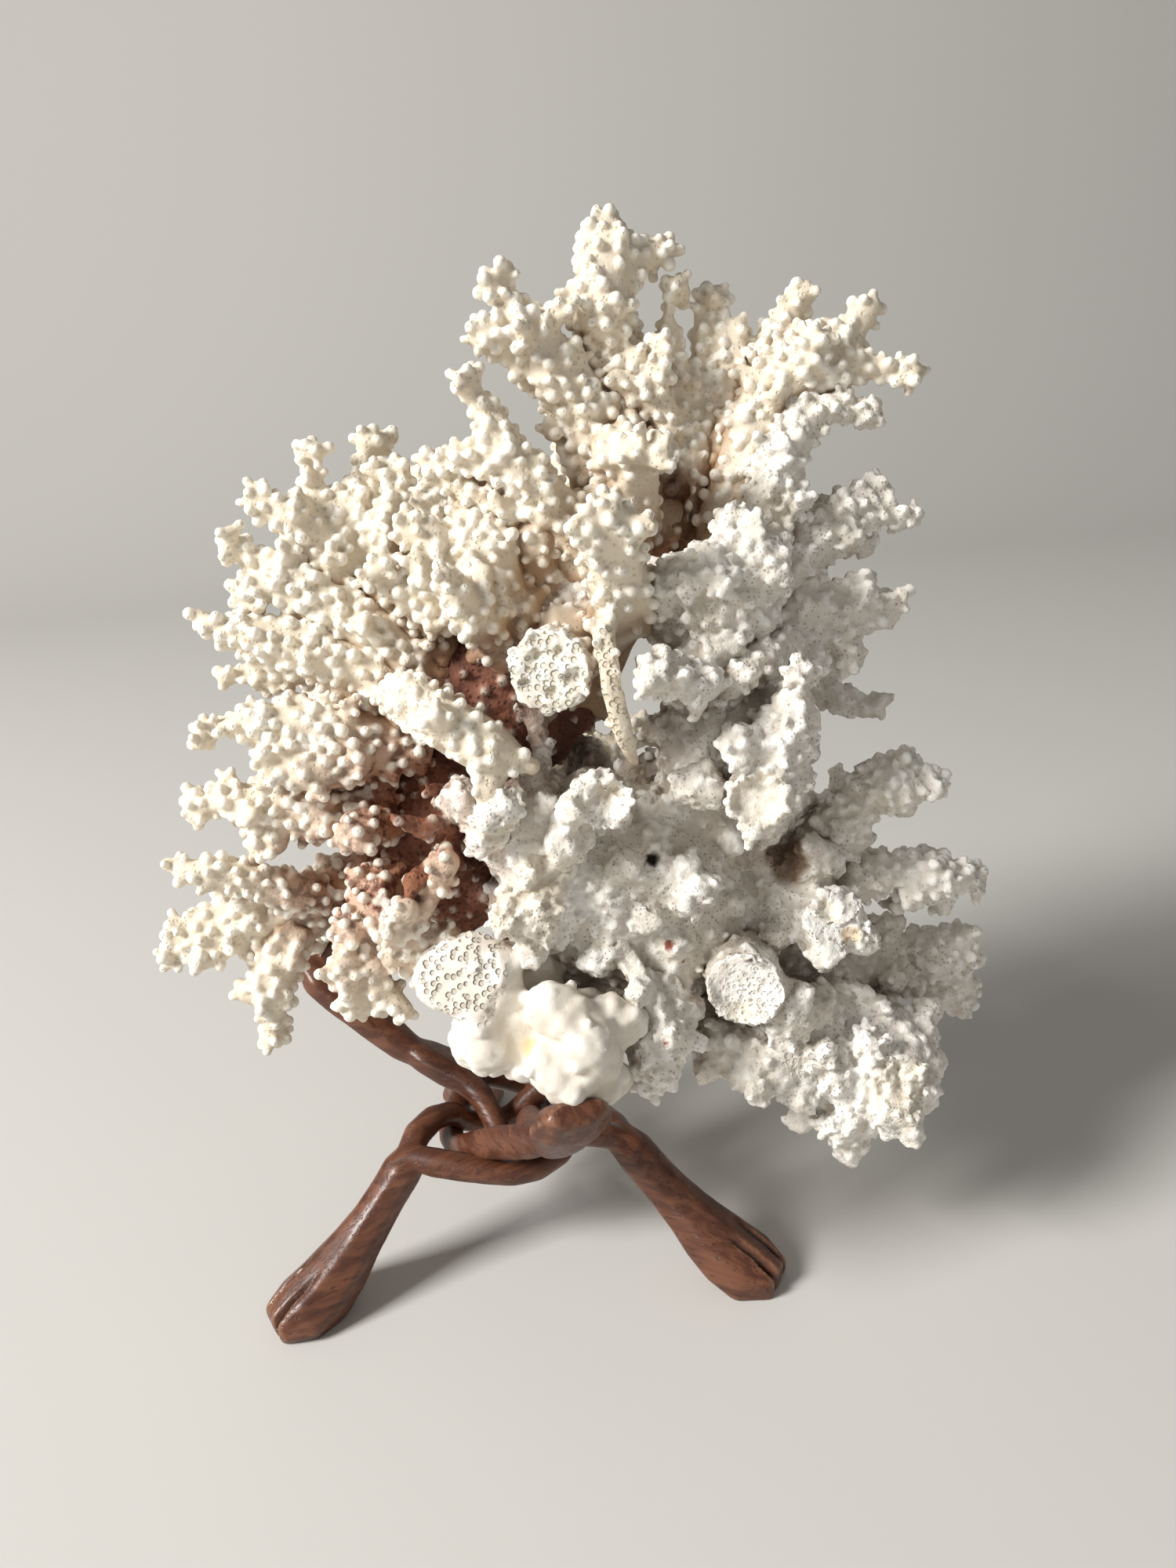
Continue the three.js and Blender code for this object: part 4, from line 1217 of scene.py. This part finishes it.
TIPS: dict[str, list[list[Station]]] = {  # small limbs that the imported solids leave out
    "crown_spire": [[(46, 10, 256, 6), (46, 8, 262, 5), (54, 3, 267, 3.5)]],
    "upper_left_limb": [[(30, 2, 266, 7), (26, 1, 272, 6), (14, -4, 276, 4)]],
    "top_fan": [[(60, 5, 250, 5), (57, 4, 258, 4.5), (60, 0, 270, 3)]],
    "right_fan": [[(78, 12, 240, 6), (80, 12, 246, 5), (88, 6, 256, 4)]],
    "left_arm_high": [[(-40, -9, 214, 7), (-44, -9, 218, 6), (-56, -10, 216, 4)]],
    "left_spur": [[(-48, -13, 153, 7), (-54, -14, 152, 5), (-61, -19, 146, 4)]],
    "left_hanging_arm": [[(-63, -17, 108, 6), (-64, -18, 104, 5), (-72, -20, 102, 3.6)]],
    "front_cream_limb": [
        [(-4, -42, 183, 6), (-4, -46, 186, 5), (-4, -50, 188, 3.6)],
        [(9, -44, 176, 6), (8, -45, 174, 5), (6, -50, 168, 4)],
    ],
    "hanging_twigs": [[(-33, -30, 110, 5), (-31, -33, 107, 4), (-25, -35, 100, 3)]],
    "dead_limb_top": [[(90, -2, 236, 6), (92, -1, 240, 5), (97, 1, 250, 3.5)]],
    "dead_limb_lower": [
        [(88, -8, 196, 7), (90, -7, 200, 6), (96, -5, 207, 4.5)],
        [(104, -7, 196, 7), (104, -8, 192, 6), (106, -10, 184, 4.5)],
        [(90, -9, 195, 7), (92, -10, 191, 6), (95, -14, 184, 4.5)],
    ],
    "right_low_arm": [[(130, -2, 86, 8), (134, -2, 84, 7), (140, -6, 78, 4)]],
    "antler_lower": [[(129, -13, 120, 6), (130, -13, 117, 5), (132, -14, 108, 3)]],
    "right_finger": [[(82, -30, 156, 7), (80, -34, 164, 6), (70, -40, 172, 4.5)]],
    "chalk_mass": [
        [(-1, -36, 160, 7), (-1, -40, 163, 5)],
        [(24, -42, 152, 8), (24, -48, 152, 6)],
        [(92, -18, 128, 8), (96, -22, 130, 6)],
    ],
    "lower_right_knob": [
        [(92, -32, 70, 8), (90, -32, 64, 6), (86, -36, 60, 4)],
        [(120, -20, 62, 8), (126, -20, 60, 6)],
        [(116, -26, 72, 8), (122, -26, 74, 6)],
        [(96, -36, 70, 7), (94, -42, 72, 5)],
        [(100, -36, 58, 8), (98, -40, 56, 6)],
        [(114, -34, 66, 8), (118, -38, 66, 6)],
    ],
}


def dressed(form: Form, node: str, slot: Slot, measures: dict[str, np.ndarray]) -> bpy.types.Object:
    """Puts a finished form in its node's place.

    Args:
        form: The form.
        node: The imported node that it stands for.
        slot: The record's slot for its finish.
        measures: What its finish reads at each point.

    Returns:
        The new piece, which has no material yet.
    """
    mesh = form.mesh(f"{node}_{SKIN_NAMES[slot]}")
    for name, values in measures.items():
        kind, key = MEASURE_KINDS[values.size // len(values)]
        attribute = mesh.attributes.new(name, kind, "POINT")
        attribute.data.foreach_set(key, values.astype(np.float32).ravel())
    mesh.polygons.foreach_set("use_smooth", np.ones(len(mesh.polygons), bool))
    piece = bpy.data.objects.new(mesh.name, mesh)
    bpy.context.scene.collection.objects.link(piece)
    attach(piece, "root")
    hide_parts(node)
    LOG.info("%s: %d triangles", piece.name, len(form.triangles()))
    return piece


MEASURE_KINDS = {1: ("FLOAT", "value"), 3: ("FLOAT_VECTOR", "vector"), 4: ("FLOAT_COLOR", "color")}
SKIN_NAMES = {Slot.IVORY: "skin", Slot.CHALK: "skin", Slot.RUST: "skin", Slot.ROSEWOOD: "carved"}


@dataclass
class CoralPart:
    """One piece of the colony between two forks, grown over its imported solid."""

    node: str
    growth: Growth
    far_side: bool = False
    beside: BVHTree = field(init=False, repr=False)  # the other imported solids
    seed: int = field(init=False)
    marks: list[Mark] = field(init=False, repr=False)
    height: np.ndarray = field(init=False, repr=False)  # how far up a knob each point of its skin lies
    shelter: np.ndarray = field(init=False, repr=False)  # how deep each lies between the limbs, which sets its painted shade
    tint: np.ndarray = field(init=False, repr=False)  # the colour that its marks give each, painted shade among it

    def __post_init__(self) -> None:
        """Finds what lies beside the piece, and its own number for its scatters."""
        self.beside = COLONY.others(self.node)
        self.seed = sum(ord(letter) * (index + 1) for index, letter in enumerate(self.node))
        self.marks = [mark for mark in MARKS if COLONY.behind(*mark.seen)[0] == self.node]

    def outward(self, spots: np.ndarray) -> np.ndarray:
        """Returns the way out from the colony's heart at some spots."""
        out = spots - placed(HEART)
        return out / np.linalg.norm(out, axis=1, keepdims=True)

    def ways(self, spots: np.ndarray, normals: np.ndarray, lean: float) -> np.ndarray:
        """Returns the way that knobs at some spots point, out from the surface and the colony's heart."""
        way = normals + self.outward(spots) * lean
        return way / np.linalg.norm(way, axis=1, keepdims=True)

    def bulbs(self, solid: Form) -> list[Form]:
        """Rounds off the tips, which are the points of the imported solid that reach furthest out.

        Args:
            solid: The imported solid.

        Returns:
            A round-ended finger for each tip.
        """
        if not self.growth.bulb:
            return []
        reach = np.linalg.norm(solid.points - placed(HEART), axis=1)
        forms = []
        for index, point in enumerate(solid.points):
            near = np.linalg.norm(solid.points - point, axis=1)
            if (reach[near < TIP_REACH * MM] > reach[index]).any():
                continue
            inner = solid.points[near < TIP_LENGTH * MM].mean(axis=0)
            way = (point - inner) / max(np.linalg.norm(point - inner), TINY)
            aside = solid.points[near < TIP_WIDTH * MM] - point
            aside -= way * (aside @ way)[:, None]
            girth = np.linalg.norm(aside, axis=1).mean() * self.growth.bulb
            radius = np.clip(girth, LEAST_TIP * MM, MOST_TIP * MM)
            ends = np.array([inner, point - way * radius * TIP_INSET])
            forms.append(strung(ends, np.array([radius * TIP_ROOT, radius])))
        return forms

    def stem(self) -> Form:
        """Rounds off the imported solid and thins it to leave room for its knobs.

        It stays thick where it meets its neighbours, so that no gap shows at a fork.

        Returns:
            The piece without its lobes and knobs.
        """
        packed = COLONY.forms[self.node]
        solid = fused(packed, STEM_VOXEL, self.growth.rounding)
        gap = np.array([self.beside.find_nearest(point)[3] for point in solid.points]) / MM
        far = np.clip((gap - JOINT_EDGE) / JOINT_REACH, 0, 1)
        normals = solid.normals()
        thin = np.clip(self.girth(solid, normals) / 2 - LEAST_HALF, -MOST_SWELL, self.growth.shrink)
        solid.points += normals * ((JOINT_SWELL - far * (JOINT_SWELL + thin)) * MM)[:, None]
        small = [np.array(tip, float) for tip in TIPS.get(self.node, [])]
        small = [strung(placed(tip[:, :3]), tip[:, 3] * MM) for tip in small]
        small += [twig.form() for twig in TWIGS if twig.root() == self.node]
        return joined([solid] + self.bulbs(packed) + small)

    def girth(self, solid: Form, normals: np.ndarray) -> np.ndarray:
        """Measures how thick a form is, straight in from each of its points, in millimetres.

        Args:
            solid: The form.
            normals: Its normals.

        Returns:
            The thickness at each point.
        """
        tree = BVHTree.FromPolygons(solid.points.tolist(), solid.triangles().tolist())
        deep = np.full(len(solid.points), MOST_GIRTH)
        for index, (point, normal) in enumerate(zip(solid.points, normals)):
            distance = tree.ray_cast(Vector(point - normal * GIRTH_START * MM), Vector(-normal))[3]
            if distance is not None:
                deep[index] = distance / MM
        return deep

    def covered(self, spot: np.ndarray) -> bool:
        """Tells whether a spot lies inside or against a neighbour."""
        near, normal, _, gap = self.beside.find_nearest(spot)
        return gap < COVER_DEPTH * MM and (Vector(spot) - near).dot(normal) < COVER_GAP * MM

    def spots(self, skin: Form, spacing: float, seed: int) -> tuple[np.ndarray, np.ndarray]:
        """Picks where knobs or lobes grow.

        They are few near the limb's root, fewer in the shade, and none lies against a neighbour.

        Args:
            skin: The skin that they grow on.
            spacing: The least distance between two, in millimetres.
            seed: Which scatter it is.

        Returns:
            The spots and the skin's normals there.
        """
        growth = self.growth
        spots, normals = scattered(skin, spacing, seed)
        reach = np.linalg.norm(spots - placed(HEART), axis=1)
        along = (reach - reach.min()) / max(np.ptp(reach), TINY)
        chance = np.random.default_rng(seed + ROOM_DRAW)
        lit = growth.shaded + (1 - growth.shaded) * (normals @ np.array(LIGHT_SIDE) > LIT)
        share = np.where(along > growth.bare * chance.uniform(*ROOT_ENDS, len(spots)), lit, growth.few)
        free = np.array([not self.covered(spot) for spot in spots], bool)
        kept = (chance.random(len(spots)) < share) & free
        return spots[kept], normals[kept]

    def lobes(self, stem: Form) -> list[Form]:
        """Grows short thick side shoots from the stem.

        Args:
            stem: The stem.

        Returns:
            The shoots' forms.
        """
        growth = self.growth
        if not growth.lobe_spacing:
            return []
        spots, normals = self.spots(stem, growth.lobe_spacing, self.seed)
        chance = np.random.default_rng(self.seed + LOBE_DRAW)
        ways = self.ways(spots, normals, growth.lean)
        length = growth.lobe_length * MM * chance.uniform(*LOBE_LENGTHS, len(spots))
        forms = []
        for share in LOBE_BALLS:
            radii = growth.lobe_radius * MM * chance.uniform(*LOBE_WIDTHS, len(spots))
            forms.append(balls(spots + ways * (length * share)[:, None], radii))
        return forms

    def knobs(self, skin: Form) -> list[Form]:
        """Covers the skin in small round-ended knobs.

        Args:
            skin: The skin.

        Returns:
            The knobs' forms.
        """
        growth = self.growth
        spots, normals = self.spots(skin, growth.knob_spacing, self.seed + KNOB_SCATTER)
        chance = np.random.default_rng(self.seed + KNOB_DRAW)
        ways = self.ways(spots, normals, growth.lean)
        radii = growth.knob_radius * MM * chance.uniform(*KNOB_WIDTHS, len(spots))
        reach = np.maximum(growth.knob_length * MM * chance.uniform(*KNOB_LENGTHS, len(spots)) - radii, 0)
        ahead = (normals * self.outward(spots)).sum(axis=1)
        reach *= 1 - TIP_STUNT * np.clip((ahead - STUNT_FROM) / STUNT_RANGE, 0, 1)
        return [balls(spots + ways * (reach * share)[:, None], radii * width) for share, width in KNOB_BALLS]

    def crusts(self, skin: Form) -> list[Form]:
        """Heaps crumbs where a mark is encrusted.

        Args:
            skin: The skin.

        Returns:
            The crumbs' forms.
        """
        forms = []
        for index, mark in enumerate(self.marks):
            spot = COLONY.behind(*mark.seen)[1]
            if not mark.crust:
                continue
            spots, normals = scattered(skin, mark.crust * CRUMB_SPACING, self.seed + CRUMB_SCATTER + index)
            near = np.linalg.norm(spots - np.array(spot), axis=1) < mark.radius * MM
            spots, normals = spots[near], normals[near]
            chance = np.random.default_rng(self.seed + CRUMB_DRAW + index)
            radii = mark.crust * MM * chance.uniform(*CRUMB_WIDTHS, len(spots))
            lift = mark.crust * MM * chance.uniform(*CRUMB_LIFTS, len(spots))
            stretch = chance.uniform(*CRUMB_STRETCHES, len(spots))
            forms.append(balls(spots + normals * lift[:, None], radii, normals, stretch))
        return forms

    def grown(self) -> Form:
        """Grows the whole piece.

        Returns:
            Its finished skin.
        """
        growth = self.growth
        stem = self.stem()
        skin = largest(fused(joined([stem] + self.lobes(stem)), SKIN_VOXEL, 2))
        voxel = growth.voxel * (FAR_VOXEL if self.far_side else 1.0)
        parts = [skin] + self.knobs(skin) + self.crusts(skin)
        kept = growth.kept * (FAR_KEPT if self.far_side else 1.0)
        whole = fused(joined(parts), voxel, growth.finish, 0.0, growth.reliefs, kept)
        self.measure(whole, skin)
        self.tint = np.ones((len(whole.points), 4))
        for mark in self.marks:
            self.press(whole, mark)
        return whole

    def measure(self, whole: Form, skin: Form) -> None:
        """Measures each point of the finished skin for its colour.

        The height is its share of the way up a knob, and the painted shade follows how deep it lies between
        the limbs.

        Args:
            whole: The finished skin.
            skin: The skin before it had knobs.
        """
        tris = skin.triangles()
        tree = BVHTree.FromPolygons(skin.points.tolist(), tris.tolist())
        coarse = fused(skin, SHELTER_VOXEL, 1)
        around = BVHTree.FromPolygons(coarse.points.tolist(), coarse.faces.tolist())
        measured = COLONY.shelter(coarse)[coarse.faces].mean(axis=1)
        shelter = measured[[around.find_nearest(point)[2] for point in skin.points]][tris].mean(axis=1)
        out, nearest = np.zeros(len(whole.points)), np.zeros(len(whole.points), int)
        for index, point in enumerate(whole.points):
            spot, normal, nearest[index], distance = tree.find_nearest(point)
            out[index] = distance if (Vector(point) - spot).dot(normal) > 0 else -distance
        self.height = np.clip(out / (self.growth.knob_length * MM * KNOB_TOP), 0, 1)
        self.shelter = shelter[nearest]

    def press(self, whole: Form, mark: Mark) -> None:
        """Breaks, presses and tints one mark into the finished skin; some tints are painted shade.

        Args:
            whole: The finished skin, which is changed.
            mark: The mark.
        """
        tree = BVHTree.FromPolygons(whole.points.tolist(), whole.triangles().tolist())
        spot = tree.ray_cast(*SIGHT.line(*mark.seen))[0]
        if spot is None:
            LOG.warning("%s: the mark at %s misses the skin", self.node, mark.seen)
            return
        aside = (whole.points - np.array(spot)) / (mark.radius * MM)
        reach = np.linalg.norm(aside * np.array([1.0, 1.0, 1.0 / mark.longer]), axis=1)
        angle = np.arctan2(aside[:, 2], aside[:, 0])
        reach *= 1 + MARK_WANDER * (np.sin(3 * angle + self.seed) + 0.6 * np.sin(7 * angle + mark.radius))
        near = reach < MARK_REACH
        normals = whole.normals()
        facing = normals[near & (reach < FACING_REACH)].mean(axis=0)
        facing /= np.linalg.norm(facing)
        front = near & (normals @ facing > FACING_SLACK)
        level = aside @ facing * mark.radius
        inside = np.clip((FACE_EDGE - reach) / FACE_FALL, 0, 1)
        wave = 0.7 + 0.3 * np.sin(angle * RIM_WAVES + self.seed)
        push = -level * inside * mark.flat - mark.depth * np.clip(1 - reach ** 2, 0, 1)
        push += mark.rim * wave * np.exp(-((reach - RIM_PLACE) / RIM_WIDTH) ** 2)
        whole.points[front] += facing * (push[front] * MM)[:, None]
        share = np.clip((TINT_EDGE - reach) / TINT_FALL, 0, 1)[front, None]
        self.tint[front] *= 1 - share * (1 - np.array(mark.tint))
        self.tint[front, 3:] *= 1 - share * mark.comb

    def rust(self, points: np.ndarray) -> np.ndarray:
        """Returns how far the rust growth has stained each point.

        Args:
            points: The points, in metres.

        Returns:
            A share from 0 to 1 for each.
        """
        stain = np.zeros(len(points))
        for x, y, z, radius in RUST_SPOTS:
            reach = np.linalg.norm(points - placed((x, y, z)), axis=1) / (radius * MM)
            stain = np.maximum(stain, np.clip(STAIN_REACH - reach * STAIN_FALL, 0, 1))
        return stain

    def make(self, material: bpy.types.Material, slot: Slot) -> None:
        """Grows and dresses the piece.

        Args:
            material: Its finish.
            slot: The record's slot for that finish.
        """
        whole = self.grown()
        measures = {"height": self.height, "shelter": self.shelter, "rust": self.rust(whole.points)}
        measures["pitted"] = np.full(len(whole.points), self.growth.pitted)
        measures["tint"] = self.tint
        dressed(whole, self.node, slot, measures).data.materials.append(material)


@dataclass(frozen=True)
class Limbs:
    """Limbs that grow or wear in the same way."""

    growth: Growth
    near: tuple[str, ...]
    far: tuple[str, ...] = ()  # those of the far side
    others: dict[str, Growth] = field(default_factory=dict)  # the near ones that grow otherwise

    def build(self, material: bpy.types.Material, slot: Slot) -> None:
        """Builds and dresses every limb.

        Args:
            material: Their finish.
            slot: The record's slot for it.
        """
        for node in self.near:
            CoralPart(node, self.others.get(node, self.growth)).make(material, slot)
        for node in self.far:
            CoralPart(node, self.growth, far_side=True).make(material, slot)


@dataclass(frozen=True)
class LivingLimbs(Limbs):
    """The cream limbs of the left, the top and the far side, densely covered in knobs."""

    growth: Growth = LIVING
    near: tuple[str, ...] = (
        "crown_spire", "upper_left_limb", "left_shoulder_limb", "front_centre_limb", "top_fan", "right_fan",
        "right_top_limb", "left_mass", "left_fingers", "left_arm_high", "left_arm_middle", "left_arm_low",
        "left_spur", "lower_left_limb", "left_hanging_arm", "front_cream_limb", "hanging_twigs",
        "trunk_upper",
    )
    far: tuple[str, ...] = (
        "back_crown", "back_upper_left", "back_upper_right", "back_middle", "back_left", "back_low",
        "back_low_left",
    )
    others: dict[str, Growth] = field(
        default_factory=lambda: {"front_centre_limb": SMOOTH, "front_cream_limb": SMOOTH, "trunk_upper": STEM}
    )


@dataclass(frozen=True)
class RustCore(Limbs):
    """The rust-brown heart of the colony, dotted with white."""

    growth: Growth = CORE
    near: tuple[str, ...] = ("core_brown",)


@dataclass(frozen=True)
class WornLimbs(Limbs):
    """The chalk-white dead limbs of the right, with worn knobs."""

    growth: Growth = WORN
    near: tuple[str, ...] = (
        "white_knob_mass", "dead_limb_top", "dead_limb_right", "dead_limb_lower", "right_low_arm",
        "antler_upper", "antler_lower", "right_finger",
    )
    far: tuple[str, ...] = ("back_right", "back_low_right")


@dataclass(frozen=True)
class ChalkBase(Limbs):
    """The dead lower mass: encrusted, pitted, with broken ends and porcelain-smooth lumps."""

    growth: Growth = ENCRUSTED
    near: tuple[str, ...] = (
        "chalk_mass", "porcelain_base", "hanging_block", "lower_right_knob", "round_disc_end",
    )
    others: dict[str, Growth] = field(
        default_factory=lambda: {"porcelain_base": PORCELAIN, "round_disc_end": PLATE}
    )


HEAD_CORNERS = ((380, 1246), (440, 1186), (468, 1284))  # the corners of its flat face, as pixels
HEAD_DEPTHS = (30.0, 41.0)  # how far back the wedge starts and ends, in millimetres
GRAIN_STRETCH = 0.12  # how much the grain is drawn out along a leg


@dataclass
class CarvedStand:
    """The three interlinked legs, carved from one block and rubbed smooth. Lengths are in millimetres."""

    turns: dict[str, float] = field(
        default_factory=lambda: {"leg_left": 30, "leg_right": 152, "leg_back": 287}
    )  # which way each leg points, from its foot to its head, in degrees
    voxel: float = 0.6
    rubbing: int = 24  # how many times it is smoothed
    swell: float = 0.9  # how far it is moved out after that
    kept: float = 0.25  # the share of its faces that is kept
    toe_grooves: tuple[float, ...] = (-3.6, 3.6)  # where they lie across the foot
    groove_depth: float = 2.2
    groove_width: float = 0.8
    groove_reach: float = 17.0
    toe_tip: float = -88.0  # where the foot ends, along the leg
    notch_reach: float = 5.0  # how far back from there the grooves notch the toes' ends
    notch_fade: float = 4.0
    groove_fade: float = 6.0  # over what length the grooves run out
    rubbed_from: float = 0.18  # how sharply an edge is rounded where it starts to be painted pale, as wear and highlight
    rubbed_range: float = 0.3

    def leg_places(self, points: np.ndarray, degrees: float) -> np.ndarray:
        """Turns places in the frame into one leg's own, in millimetres: along it, across it and up.

        Args:
            points: The places, in metres.
            degrees: Which way the leg points.

        Returns:
            The leg's own places.
        """
        turn = math.radians(degrees)
        x, y, z = (points / MM - np.array(STAND_MIDDLE)).T
        along = x * math.cos(turn) + y * math.sin(turn)
        return np.stack([along, y * math.cos(turn) - x * math.sin(turn), z], axis=1)

    def carve(self, node: str) -> bpy.types.Object:
        """Rounds one leg, cuts the grooves between its toes and dresses it.

        Args:
            node: The leg's node.

        Returns:
            The leg.
        """
        rough = joined([node_form(node)] + self.head(node))
        form = fused(rough, self.voxel, self.rubbing, self.swell, (Relief("CLOUDS", 14.0, 0.5),))
        degrees = self.turns[node]
        turn, cut = math.radians(degrees), self.grooves(form, degrees)
        local = self.leg_places(form.points, degrees)
        fade = np.clip((self.toe_tip + self.notch_reach - local[:, 0]) / self.notch_fade, 0, 1)
        notch = cut * fade * self.groove_depth * MM
        form.points += notch[:, None] * np.array([math.cos(turn), math.sin(turn), 0.0])
        form.points[:, 2] -= cut * self.groove_depth * MM
        form = worked(form, [thinning(self.kept)])
        form.points[:, 2] = np.maximum(form.points[:, 2], 0.0)
        along = self.leg_places(form.points, degrees) * np.array([GRAIN_STRETCH, 1.0, 1.0]) * MM
        # the height measure is the pale edges of wear and painted highlight; the cut measure sets the painted
        # shade in the grooves
        measures = {"along": along, "height": self.edge_wear_and_highlight(form), "cut": self.grooves(form, degrees)}
        return dressed(form, node, Slot.ROSEWOOD, measures)

    def grooves(self, form: Form, degrees: float) -> np.ndarray:
        """Measures how deep in a groove between two toes each point lies, which also sets the shade painted
        there.

        Args:
            form: The leg.
            degrees: Which way it points, from its foot to its head.

        Returns:
            A share from 0 to 1 for each point.
        """
        local = self.leg_places(form.points, degrees)
        near = sum(np.exp(-((local[:, 1] - across) / self.groove_width) ** 2) for across in self.toe_grooves)
        ahead = np.clip((self.toe_tip + self.groove_reach - local[:, 0]) / self.groove_fade, 0, 1)
        return near * ahead * (form.normals()[:, 2] > FACING_SLACK)

    def head(self, node: str) -> list[Form]:
        """Makes the flat three-cornered face that the right leg's head turns to the front.

        Args:
            node: The leg's node.

        Returns:
            The wedge behind the face, or nothing for the other legs.
        """
        if node != "leg_right":
            return []
        ends = []
        for depth in HEAD_DEPTHS:
            far = placed((0, depth, 0))[1]
            ends += [SIGHT.at_depth(across, down, far) for across, down in HEAD_CORNERS]
        faces = [(0, 1, 2), (5, 4, 3), (0, 3, 4), (0, 4, 1), (1, 4, 5), (1, 5, 2), (2, 5, 3), (2, 3, 0)]
        return [Form(np.array(ends), np.array(faces))]

    def edge_wear_and_highlight(self, form: Form) -> np.ndarray:
        """Measures how sharply the surface is rounded outwards, where it is painted pale as rubbed wear and
        highlight.

        Args:
            form: The leg.

        Returns:
            A share from 0 to 1 for each point.
        """
        normals = form.normals()
        bend, count = np.zeros(len(form.points)), np.zeros(len(form.points))
        corners = form.faces.shape[1]
        for corner in range(corners):
            a, b = form.faces[:, corner], form.faces[:, (corner + 1) % corners]
            turn = ((normals[b] - normals[a]) * (form.points[b] - form.points[a])).sum(axis=1)
            length = ((form.points[b] - form.points[a]) ** 2).sum(axis=1)
            curve = turn / np.maximum(length, TINY)
            for ends in (a, b):
                bend += np.bincount(ends, curve, len(bend))
                count += np.bincount(ends, minlength=len(bend))
        bend *= MM / np.maximum(count, 1)
        return np.clip((bend - self.rubbed_from) / self.rubbed_range, 0, 1)

    def build(self, effects: Effects) -> None:
        """Carves and dresses the three legs.

        Args:
            effects: The shared node groups.
        """
        material = WoodFinish().material(effects)
        for node in self.turns:
            self.carve(node).data.materials.append(material)


# The studio


@dataclass(frozen=True)
class Lamp:
    """One soft square light. Its place and size are in metres."""

    name: str
    place: tuple[float, float, float]
    size: float
    watts: float
    warmth: tuple[float, float, float]


AIM = (0.0, 0.0, 0.15)  # what the lights face


@dataclass(frozen=True)
class Studio:
    """A plain pale floor and backdrop, soft lights and the camera at the photograph's angle.

    Lengths are in metres.
    """

    lamps: tuple[Lamp, ...] = (
        Lamp("window", (-1.75, -0.95, 1.5), 0.8, 88.0, (1.0, 0.985, 0.96)),
        Lamp("room", (0.4, -1.7, 0.8), 1.8, 2.5, (1.0, 0.98, 0.95)),
    )
    sky: Colour = (1.0, 0.975, 0.94, 1.0)
    sky_strength: float = 0.22
    half_width: float = 3.0
    front: float = -2.0
    bend_start: float = 1.2
    bend: float = 0.8  # the radius with which the floor curves up
    bend_steps: int = 16
    top: float = 3.0
    paint: Colour = tone(202, 200, 196)
    dullness: float = 0.8

    def camera(self) -> None:
        """Sets up the camera."""
        data = bpy.data.cameras.new("camera")
        data.lens, data.sensor_width, data.clip_start = SIGHT.lens, SIGHT.sensor, 0.01
        camera = bpy.data.objects.new("camera", data)
        right, up, ahead = SIGHT.axes()
        turn = Matrix((right, up, -ahead)).transposed().to_4x4()
        camera.matrix_world = Matrix.Translation(placed(SIGHT.eye)) @ turn
        bpy.context.scene.collection.objects.link(camera)
        bpy.context.scene.camera = camera

    def light(self, lamp: Lamp) -> None:
        """Hangs one soft square light that faces the colony.

        Args:
            lamp: The light.
        """
        data = bpy.data.lights.new(lamp.name, "AREA")
        data.size, data.energy, data.color = lamp.size, lamp.watts, lamp.warmth
        hung = bpy.data.objects.new(lamp.name, data)
        aim = Vector(AIM) - Vector(lamp.place)
        turn = aim.to_track_quat("-Z", "Y").to_matrix().to_4x4()
        hung.matrix_world = Matrix.Translation(lamp.place) @ turn
        bpy.context.scene.collection.objects.link(hung)

    def floor(self) -> None:
        """Lays a floor that curves up into a backdrop."""
        profile = [(self.front, 0.0), (self.bend_start, 0.0)]
        for step in range(1, self.bend_steps + 1):
            angle = math.pi / 2 * step / self.bend_steps
            along = self.bend_start + self.bend * math.sin(angle)
            profile.append((along, self.bend * (1 - math.cos(angle))))
        profile.append((self.bend_start + self.bend, self.top))
        mesh = bpy.data.meshes.new("floor")
        points = [(x, y, z) for y, z in profile for x in (-self.half_width, self.half_width)]
        faces = [(2 * i, 2 * i + 1, 2 * i + 3, 2 * i + 2) for i in range(len(profile) - 1)]
        mesh.from_pydata(points, [], faces)
        mesh.polygons.foreach_set("use_smooth", np.ones(len(faces), bool))
        material = bpy.data.materials.new("floor")
        material.use_nodes = True
        shader = material.node_tree.nodes["Principled BSDF"]
        shader.inputs["Base Color"].default_value = self.paint
        shader.inputs["Roughness"].default_value = self.dullness
        mesh.materials.append(material)
        floor = bpy.data.objects.new("floor", mesh)
        bpy.context.scene.collection.objects.link(floor)

    def build(self) -> None:
        """Builds the studio."""
        self.camera()
        self.floor()
        for lamp in self.lamps:
            self.light(lamp)
        world = bpy.data.worlds.new("studio")
        world.use_nodes = True
        world.node_tree.nodes["Background"].inputs["Color"].default_value = self.sky
        world.node_tree.nodes["Background"].inputs["Strength"].default_value = self.sky_strength
        bpy.context.scene.world = world
        bpy.context.scene.view_settings.view_transform = "Standard"


def main() -> None:
    """Builds the studio, the stand and the colony, and reports each piece."""
    logging.basicConfig(level=logging.INFO, format="%(message)s")
    Studio().build()
    effects = Effects()
    CarvedStand().build(effects)
    LivingLimbs().build(IVORY.material(effects), IVORY.slot)
    RustCore().build(RUST.material(effects), RUST.slot)
    chalk = CHALK.material(effects)
    WornLimbs().build(chalk, CHALK.slot)
    ChalkBase().build(chalk, CHALK.slot)
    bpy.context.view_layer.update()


if __name__ == "__main__":
    main()
